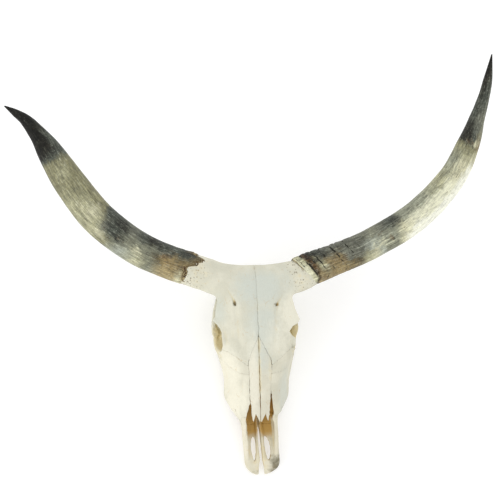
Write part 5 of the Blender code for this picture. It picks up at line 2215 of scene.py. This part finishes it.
@dataclass(frozen=True)
class HornFinish:
    """The horn of one side.

    Attributes:
        name: Name of the material.
        length: Of the horn, in millimetres.
        upper: Colours of its upper side, by millimetres along it.
        middle: Colours of the side towards the front.
        lower: Colours of its lower side.
        torn: Colour of the layers laid bare at the rim, where they are dark.
        peel: And where they are pale.
        furrow: Colour of the growth furrows.
        torn_width: How far the bare layers reach.
        jag: How ragged the borders between the colours are.
        gain: How bright the horn is.
        base_jag: How much of the raggedness is left near the rim.
    """

    name: str
    length: float
    upper: Stops
    middle: Stops
    lower: Stops
    torn: HornTone = HornTone.UMBER
    peel: HornTone = HornTone.SAND
    furrow: HornTone = HornTone.SOOT
    torn_width: float = 9.0
    jag: float = 9.0
    gain: float = 1.0
    base_jag: float = 0.15

    def band(self, wiring: Wiring, place: Signal, stops: Stops) -> Signal:
        """Place a colour ramp along the horn and return its colour.

        Args:
            wiring: The material's tree.
            place: Millimetres along the horn.
            stops: The colours.

        Returns:
            The colour.
        """
        node = wiring.node("ShaderNodeValToRGB", place)
        ramp = node.color_ramp
        while len(ramp.elements) < len(stops):
            ramp.elements.new(1.0)
        for element, (distance, shade) in zip(ramp.elements, stops):
            element.position = min(distance / self.length, 1.0)
            element.color = tone(*shade.value)
        return Signal(wiring, node.outputs[0])

    def build(self, specks: Tree, fibres: Tree, flakes: Tree) -> Material:
        """Make the material.

        Args:
            specks: Group of small round specks.
            fibres: Group of fine streaks.
            flakes: Group of flakes of uneven tone.

        Returns:
            The material.
        """
        material, wiring, shader = new_material(self.name)
        read, mix, group = wiring.attribute, wiring.mix, wiring.group
        fibre = read("fibre", "Vector") * 1000.0
        streaks = group(fibres, {"Place": fibre, "Stretch": 0.1, "Per millimetre": 0.19})
        hairs = group(fibres, {"Place": fibre, "Stretch": 0.1, "Per millimetre": 0.42})
        mottle = (fibre * (0.6, 1.0, 1.0)).noise(0.052, 5.0, 0.66, 0.6)
        flecks = (fibre * (0.4, 1.0, 1.0)).noise(0.21, 4.0, 0.7, 0.5)
        scales = group(flakes, {"Place": fibre * (0.34, 1.0, 1.0), "Per millimetre": 0.17})["Shade"]
        wavering, patchy = streaks["Streaks"] - 0.5, mottle - 0.5

        # bands along the horn, with ragged borders, on its upper side, middle and lower side
        shift = wavering * (2.2 * self.jag) + patchy * (3.6 * self.jag)
        shift = shift * read("rim").ramp(0.03, 0.1, self.base_jag, 1.0)
        place = (read("along") * 1000.0 + shift) / self.length
        upper = read("upper") + (patchy * 1.5 + wavering * 0.5)
        bands = [self.band(wiring, place, stops) for stops in (self.middle, self.upper, self.lower)]
        colour = mix(upper.ramp(0.1, 0.65), bands[0], bands[1])
        colour = mix(upper.ramp(-0.15, -0.7), colour, bands[2])
        tones = (HornTone.SOOT, HornTone.CREAM, HornTone.RUST)
        for mark, shade in zip(("dark_mark", "pale_mark", "rust_mark"), tones):
            strength = read(mark) + (flecks - 0.5 + patchy) * 2.0
            strength = strength.ramp(0.3, 0.95) * read(mark).ramp(0.0, 0.3)
            colour = mix(strength * 0.7, colour, tone(*shade.value))
        lit = wiring.out("ShaderNodeRGBToBW", colour).ramp(0.01, 0.06, 0.2, 1.0)
        glints = (hairs["Fine"] + flecks).ramp(1.02, 1.22, 0.0, 0.36) * lit
        colour = mix(glints, colour, tone(*HornTone.MIST.value))

        # light and dark grain, stronger on dark horn than on pale horn
        scratches = (fibre * (1.0, 0.16, 0.16)).noise(0.34, 4.0, 0.65, 0.5)
        split = (fibre * (0.09, 1.0, 1.0)).cells(0.16, "DISTANCE_TO_EDGE")
        cracks = split.ramp(0.14, 0.03) * flecks.ramp(0.44, 0.58)
        shade = streaks["Streaks"].ramp(0.3, 0.7, 0.89, 1.25)
        for pattern, start, end, low, high in (
            (streaks["Fine"], 0.32, 0.68, 0.8, 1.17), (hairs["Streaks"], 0.32, 0.68, 0.82, 1.15),
            (mottle, 0.32, 0.68, 0.84, 1.13), (scratches, 0.32, 0.68, 0.84, 1.12),
            (flecks, 0.36, 0.64, 0.86, 1.12), (cracks, 0.0, 1.0, 1.0, 0.6), (scales, 0.0, 1.0, 0.92, 1.07),
        ):
            shade = shade * pattern.ramp(start, end, low, high)
        paleness = wiring.out("ShaderNodeRGBToBW", colour)
        contrast = paleness.ramp(0.04, 0.22, 1.9, 1.0) * paleness.ramp(0.42, 0.85, 1.0, 0.4)
        colour = wiring.shaded(colour, wiring.math("POWER", shade, contrast) * (0.925 * self.gain))

        # worm holes, growth furrows, and the layers laid bare at the torn rim
        dots = group(specks, {"Place": fibre * (0.5, 1.0, 1.0), "Per millimetre": 0.13, "Size": 0.16,
                              "Share": mottle.ramp(0.42, 0.6)})["Specks"]
        colour = mix(dots * 0.7, colour, tone(*HornTone.UMBER.value))
        colour = mix(read("ring").ramp(-0.0002, -0.001) * 0.95, colour, tone(*self.furrow.value))
        rim = read("rim") * 1000.0 + patchy * (2.2 * self.torn_width)
        torn = wiring.math("MAXIMUM", rim.ramp(self.torn_width, 0.5 * self.torn_width), read("lip"))
        layers = wiring.triple(read("rim") * 260.0, read("upper") * 3.2, read("front") * 3.2)
        pale = layers.noise(1.0, 5.0, 0.65, 0.8).ramp(0.46, 0.58)
        peel = mix(pale, tone(*self.torn.value), tone(*self.peel.value))
        colour = mix(torn * 0.9, colour, peel)

        roughness = (mottle + hairs["Fine"]).ramp(0.7, 1.3, 0.45, 0.7)
        height = streaks["Streaks"] * 1.2 + hairs["Streaks"] * 0.5 + (scales + flecks) * 0.5
        height = height - (cracks + dots) * 0.7
        dress(wiring, shader, colour, roughness, height, 0.18)
        return material


@dataclass(frozen=True)
class ToothFinish:
    """Old enamel with dentine on the worn crowns."""

    name: str = "tooth"
    enamel: Colour = (214, 204, 176)
    stain: Colour = (120, 96, 62)

    def build(self, fibres: Tree) -> Material:
        """Make the material from the group of fine streaks.

        Args:
            fibres: The tree of fibres.

        Returns:
            The material.
        """
        material, wiring, shader = new_material(self.name)
        place = wiring.named("ShaderNodeTexCoord", {})["Object"] * 1000.0
        x, y, z = place.split()
        upright = {"Place": wiring.triple(z, x, y), "Stretch": 0.15, "Per millimetre": 0.6}
        streaks = wiring.group(fibres, upright)
        stained = z.ramp(22.0, 6.0, 0.0, 0.45) + (streaks["Streaks"] - 0.5) * 1.6
        colour = wiring.mix(stained.ramp(0.05, 0.7), tone(*self.enamel), tone(*self.stain))
        dress(wiring, shader, colour, streaks["Fine"].ramp(0.3, 0.7, 0.25, 0.5), streaks["Streaks"] * 0.4)
        return material


BONE_FINISHES = {
    "bone_forehead": BoneFinish("bone_forehead", (208, 206, 188), (232, 229, 211)),
    "bone_cream": BoneFinish("bone_cream", (207, 204, 185), (232, 228, 209)),
    "bone_nasal": BoneFinish("bone_nasal", (211, 207, 188), (231, 227, 209)),
    "bone_nose": BoneFinish("bone_nose", (212, 206, 183), (232, 226, 206)),
}

T = HornTone
HORN_FINISHES = {
    Side.LEFT: HornFinish("horn_left", 705.0, upper=(
        (82, T.UMBER), (90, T.RUST), (106, T.BROWN), (122, T.SLATE), (170, T.SLATE), (205, T.SOOT),
        (222, T.SLATE), (250, T.SMOKE), (300, T.SLATE), (326, T.SLATE), (338, T.SLATE), (350, T.OLIVE),
        (505, T.OLIVE), (525, T.SLATE), (572, T.SLATE), (600, T.SOOT), (630, T.BLACK), (705, T.BLACK),
    ), middle=(
        (82, T.UMBER), (90, T.RUST), (97, T.TAN), (110, T.TAN), (148, T.HONEY), (168, T.BROWN),
        (192, T.ASH), (250, T.ASH), (284, T.SLATE), (306, T.SLATE), (324, T.SMOKE), (344, T.STRAW),
        (366, T.CREAM), (385, T.STRAW), (450, T.OLIVE), (480, T.STRAW), (508, T.OLIVE), (522, T.SLATE),
        (545, T.SOOT), (590, T.BLACK), (705, T.BLACK),
    ), lower=(
        (82, T.RUST), (88, T.SAND), (104, T.CREAM), (118, T.SAND), (150, T.SAND), (180, T.ASH),
        (210, T.STRAW), (255, T.MIST), (300, T.OLIVE), (340, T.STRAW), (400, T.STRAW), (460, T.OLIVE),
        (510, T.OLIVE), (524, T.SLATE), (534, T.BLACK), (705, T.BLACK),
    ), torn_width=16.0),
    Side.RIGHT: HornFinish("horn_right", 819.0, upper=(
        (40, T.CREAM), (52, T.STRAW), (57, T.RUST), (62, T.UMBER), (74, T.SOOT), (90, T.SLATE),
        (125, T.SMOKE), (200, T.SMOKE), (236, T.ASH), (264, T.SMOKE), (288, T.SLATE), (302, T.SLATE),
        (322, T.PEWTER), (400, T.PEWTER), (470, T.STRAW), (530, T.PEWTER), (578, T.OLIVE), (586, T.SOOT),
        (620, T.SOOT), (680, T.SLATE), (740, T.SOOT), (780, T.BLACK), (819, T.BLACK),
    ), middle=(
        (40, T.IVORY), (51, T.CREAM), (56, T.TAN), (61, T.UMBER), (68, T.RUST), (82, T.STRAW), (100, T.TAN),
        (140, T.TAN), (160, T.SMOKE), (195, T.SMOKE), (225, T.MIST), (265, T.PEWTER), (292, T.PEWTER),
        (318, T.CREAM), (352, T.IVORY), (470, T.IVORY), (500, T.CREAM), (532, T.CREAM), (550, T.STRAW),
        (575, T.OLIVE), (590, T.SLATE), (650, T.SMOKE), (700, T.SLATE), (770, T.SOOT), (795, T.BLACK),
        (819, T.BLACK),
    ), lower=(
        (40, T.CREAM), (52, T.STRAW), (59, T.UMBER), (66, T.SAND), (84, T.TAN), (130, T.HONEY),
        (180, T.BROWN), (204, T.STRAW), (222, T.CREAM), (244, T.MIST), (256, T.ASH), (284, T.ASH),
        (302, T.CREAM), (325, T.CHALK), (525, T.CHALK), (548, T.CREAM), (570, T.STRAW), (582, T.TAN),
        (620, T.ASH), (680, T.SMOKE), (760, T.SLATE), (795, T.BLACK), (819, T.BLACK),
    ), torn_width=3.0, gain=1.06, furrow=T.SOOT),
}


@dataclass(frozen=True)
class Patch:
    """A soft patch of weathering, of painted light or of painted shade: its middle and half sizes in the face
    frame, and how strong it is.
    """

    centre: Point
    radii: Point
    strength: float = 1.0

    def at(self, points: Array) -> Array:
        """Return how strong the patch is at points."""
        near = np.linalg.norm((points - np.array(self.centre)) / np.array(self.radii), axis=1)
        return self.strength * np.clip(1.6 - 1.1 * near, 0.0, 1.0)


WEATHERING_AND_PAINTED_LIGHT: dict[str, tuple[Patch, ...]] = {
    # grey patches; those on the left brow and the right cheek are painted shade
    "greyed": (
        Patch((8, -52, -5), (66, 52, 40), 0.9), Patch((-94, -112, -40), (22, 40, 40), 0.6),
        Patch((12, -150, 0), (44, 62, 30), 0.75), Patch((4, -222, 0), (30, 50, 20), 0.6),
        Patch((70, -64, -40), (34, 60, 40), 0.5), Patch((62, -330, -50), (20, 80, 60), 0.6),
    ),
    # pale patches; the one on the right brow is painted light
    "bleached": (
        Patch((-72, -265, -55), (34, 70, 60)), Patch((-58, -335, -45), (24, 50, 60), 0.9),
        Patch((86, -124, -40), (32, 52, 50), 0.95), Patch((50, -180, -10), (40, 50, 30), 0.45),
        Patch((-15, -280, -5), (16, 110, 20), 0.7), Patch((-36, -440, -50), (12, 60, 30), 0.7),
        Patch((-38, -325, -22), (12, 60, 30), 0.8),
    ),
    # ochre stains; the weak one on the left brow is painted shade
    "stained": (
        Patch((-84, -184, -84), (26, 44, 26), 1.0), Patch((88, -178, -84), (26, 44, 28), 1.0),
        Patch((-140, -20, -40), (34, 50, 60), 0.24), Patch((118, -40, -40), (26, 40, 60), 0.26),
        Patch((-92, -112, -40), (24, 46, 40), 0.18), Patch((0, -480, -60), (30, 50, 40), 0.45),
        Patch((26, -250, -2), (6, 60, 12), 0.3), Patch((-28, -470, -45), (14, 30, 20), 0.35),
    ),
    # dark smudges; those in the holes over the orbits and the strip down the right side of the nose are
    # painted shade
    "sooty": (
        Patch((38, -502, -46), (20, 26, 18), 0.68), Patch((30, -516, -46), (18, 9, 8), 0.75),
        Patch((47, -470, -50), (5, 44, 12), 0.6), Patch((-14, -519, -46), (18, 7, 8), 0.5),
        Patch((-54, -96, -14), (6, 8, 12), 0.55), Patch((46, -100, -14), (6, 7, 12), 0.5),
    ),
}
# marks on the horns, by millimetres along, towards the upper side and towards the front
HORN_MARKS: dict[Side, dict[str, tuple[Patch, ...]]] = {
    Side.LEFT: {
        "dark_mark": (
            Patch((292, 22, 30), (30, 17, 34), 1.0), Patch((278, -6, 42), (20, 14, 20), 0.7),
            Patch((92, 34, 22), (26, 12, 30), 0.8), Patch((545, -14, 22), (22, 14, 24), 0.6),
            Patch((205, 30, 26), (26, 10, 24), 0.5), Patch((330, 40, 10), (26, 14, 26), 0.6),
        ),
        "pale_mark": (
            Patch((222, -10, 40), (24, 14, 20), 0.75), Patch((318, -26, 32), (20, 12, 20), 0.8),
            Patch((208, -36, 20), (24, 9, 20), 0.7), Patch((500, 12, 28), (14, 9, 20), 0.5),
            Patch((385, -10, 40), (30, 16, 24), 0.4),
        ),
        "rust_mark": (
            Patch((142, 6, 42), (24, 13, 22), 0.6), Patch((100, -4, 42), (14, 20, 22), 0.5),
            Patch((276, -2, 42), (12, 10, 16), 0.3),
        ),
    },
    Side.RIGHT: {
        "dark_mark": (
            Patch((306, 22, 30), (20, 18, 30), 0.9), Patch((262, 12, 36), (22, 8, 20), 0.5),
            Patch((196, 24, 30), (34, 14, 26), 0.5), Patch((92, 30, 26), (30, 14, 26), 0.8),
            Patch((612, 12, 16), (30, 9, 18), 0.8), Patch((700, 8, 10), (40, 7, 14), 0.5),
            Patch((279, -10, 36), (4, 7, 12), 0.9),
        ),
        "pale_mark": (
            Patch((88, -8, 42), (13, 12, 20), 0.85), Patch((240, -6, 38), (22, 16, 20), 0.6),
            Patch((270, -22, 30), (18, 10, 20), 0.3), Patch((590, -12, 20), (12, 8, 16), 0.9),
            Patch((213, -30, 20), (20, 9, 18), 0.5),
        ),
        "rust_mark": (
            Patch((276, -8, 36), (7, 9, 14), 0.6), Patch((130, -4, 40), (26, 16, 24), 0.5),
            Patch((76, -30, 26), (14, 10, 20), 0.7), Patch((590, 2, 24), (9, 12, 20), 0.5),
            Patch((262, 14, 34), (16, 5, 14), 0.6),
        ),
    },
}


def paint_marks(sheath: Mesh, side: Side) -> None:
    """Paint the marks of one horn on its sheath.

    Args:
        sheath: The mesh of the sheath.
        side: Which horn.
    """
    fibre = np.zeros(3 * len(sheath.vertices))
    sheath.attributes["fibre"].data.foreach_get("vector", fibre)
    for name, patches in HORN_MARKS[side].items():
        paint(sheath, name, np.max([patch.at(fibre.reshape(-1, 3) / MM) for patch in patches], axis=0))


def paint_weathering(mesh: Mesh, points: Array) -> None:
    """Paint the masks of the patches and of the pores near the horns on a bone.

    Args:
        mesh: The bone's mesh.
        points: Its points in the face frame.
    """
    for name, patches in WEATHERING_AND_PAINTED_LIGHT.items():
        paint(mesh, name, np.max([patch.at(points) for patch in patches], axis=0))
    porous = np.zeros(len(points))
    for horn in HORNS:
        before = -(points - np.array(horn.rim_point)) @ np.array(horn.rim_facing)
        near = np.clip(1.3 - before / 50.0, 0.0, 1.0) * (horn.side.value * points[:, 0] > 80.0)
        porous = np.maximum(porous, near)
    paint(mesh, "porous", porous)


# --- Studio -----------------------------------------------------------------------------------------------

@dataclass(frozen=True)
class Studio:
    """The floor, the light and the camera.

    Attributes:
        camera_place: The camera in the face frame, in millimetres.
        yaw: How far the camera stands to the left of straight over the face.
        roll: How far it is turned about its own look.
        lens: Focal length in millimetres.
        sensor: Width of the camera's sensor in millimetres.
        floor_size: Width of the floor in metres.
        floor_tone: How pale the floor is.
        floor_glow: How bright the floor shines of itself, like a light table, so that shadows stay soft.
        sky: How bright the even sky is.
    """

    camera_place: Point = (-381.5, 36.5, 2896.2)
    yaw: float = 7.2
    roll: float = 1.6
    lens: float = 85.0
    sensor: float = 36.0
    floor_size: float = 14.0
    floor_tone: float = 0.78
    floor_glow: float = 0.3
    sky: float = 0.98

    def build(self) -> None:
        """Set everything up."""
        self.floor()
        self.lights()
        self.camera()

    def camera(self) -> None:
        """Place the camera where the photograph was taken from."""
        yaw, roll = math.radians(self.yaw), math.radians(self.roll)
        back = Vector((-math.sin(yaw), 0.0, math.cos(yaw)))
        side = Vector((math.cos(yaw), 0.0, math.sin(yaw)))
        ahead = Vector((0.0, 1.0, 0.0))
        right = math.cos(roll) * side - math.sin(roll) * ahead
        up = math.sin(roll) * side + math.cos(roll) * ahead
        turn = REST_TURN @ Matrix((right, up, back)).transposed()
        data = bpy.data.cameras.new("camera")
        data.lens = self.lens
        data.sensor_width = self.sensor
        camera = add_object(data)
        place = Vector(lay_down(np.array([self.camera_place]))[0])
        camera.matrix_world = Matrix.Translation(place) @ turn.to_4x4()
        bpy.context.scene.camera = camera

    def floor(self) -> None:
        """Lay a plain pale floor."""
        half = 0.5 * self.floor_size
        mesh = bpy.data.meshes.new("floor")
        corners = [(x * half, y * half, 0.0) for x, y in ((-1, -1), (1, -1), (1, 1), (-1, 1))]
        mesh.from_pydata(corners, [], [(0, 1, 2, 3)])
        floor = add_object(mesh)
        material, _, shader = new_material("floor")
        shader.inputs["Base Color"].default_value = (self.floor_tone,) * 3 + (1.0,)
        shader.inputs["Emission Color"].default_value = (1.0, 1.0, 1.0, 1.0)
        shader.inputs["Emission Strength"].default_value = self.floor_glow
        shader.inputs["Roughness"].default_value = 0.9
        shader.inputs["Specular IOR Level"].default_value = 0.1
        mesh.materials.append(material)

    def lights(self) -> None:
        """Hang a large soft key light to the left, a weak fill, and an even sky."""
        world = bpy.data.worlds.new("sky")
        world.use_nodes = True
        back = world.node_tree.nodes["Background"]
        back.inputs["Color"].default_value = (1.0, 1.0, 1.0, 1.0)
        back.inputs["Strength"].default_value = self.sky
        bpy.context.scene.world = world
        for name, place, size, power in (
            ("key", (-2.8, -2.0, 1.7), 1.8, 25.0), ("fill", (2.0, 2.4, 2.4), 2.0, 11.0),
        ):
            data = bpy.data.lights.new(name, "AREA")
            data.size = size
            data.energy = power
            light = add_object(data)
            light.matrix_world = (Matrix.Translation(place)
                                  @ (-Vector(place)).to_track_quat("-Z", "Y").to_matrix().to_4x4())
        bpy.context.scene.view_settings.view_transform = "Standard"
        bpy.context.scene.view_settings.look = "None"


# --- Assembly ---------------------------------------------------------------------------------------------

def settle(piece: Piece, node: str, slot: str) -> None:
    """Let a piece stand for a CAD node and ride on the skull, and report it.

    Args:
        piece: The piece.
        node: The CAD node that it stands for.
        slot: Material slot of the record; not used.
    """
    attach(piece, "root")
    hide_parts(node)
    triangles = sum(len(polygon.vertices) - 2 for polygon in piece.data.polygons)
    log.info("%s: %d triangles", piece.name, triangles)


def main() -> None:
    """Build the skull, its horns and teeth, and the studio."""
    logging.basicConfig(level=logging.INFO, format="%(name)s: %(message)s")
    specks, fibres, flakes = speckle_group(), fibre_group(), flake_group()
    bone = bone_group(specks, fibres)
    finishes = {slot: finish.build(bone) for slot, finish in BONE_FINISHES.items()}
    skull = Skull()
    pieces = skull.build()
    facts = {cut.name: (cut.node, cut.slot) for cut in skull.bones()}
    for name, piece in pieces.items():
        node, slot = facts.get(name, (name, "bone_nasal"))
        piece.data.materials.append(finishes[slot])
        settle(piece, node, slot)
    horn_growth = sheath_tree()
    for horn in HORNS:
        piece = horn.build(horn_growth, HORN_FINISHES[horn.side].build(specks, fibres, flakes))
        paint_marks(piece.data, horn.side)
        settle(piece, f"horn_sheath_{horn.side.word}", "horn")
    for name, piece in Teeth().build(ToothFinish().build(fibres)).items():
        settle(piece, name.replace("teeth", "maxilla"), "bone_cream")
    Studio().build()
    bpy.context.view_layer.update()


if __name__ == "__main__":
    main()
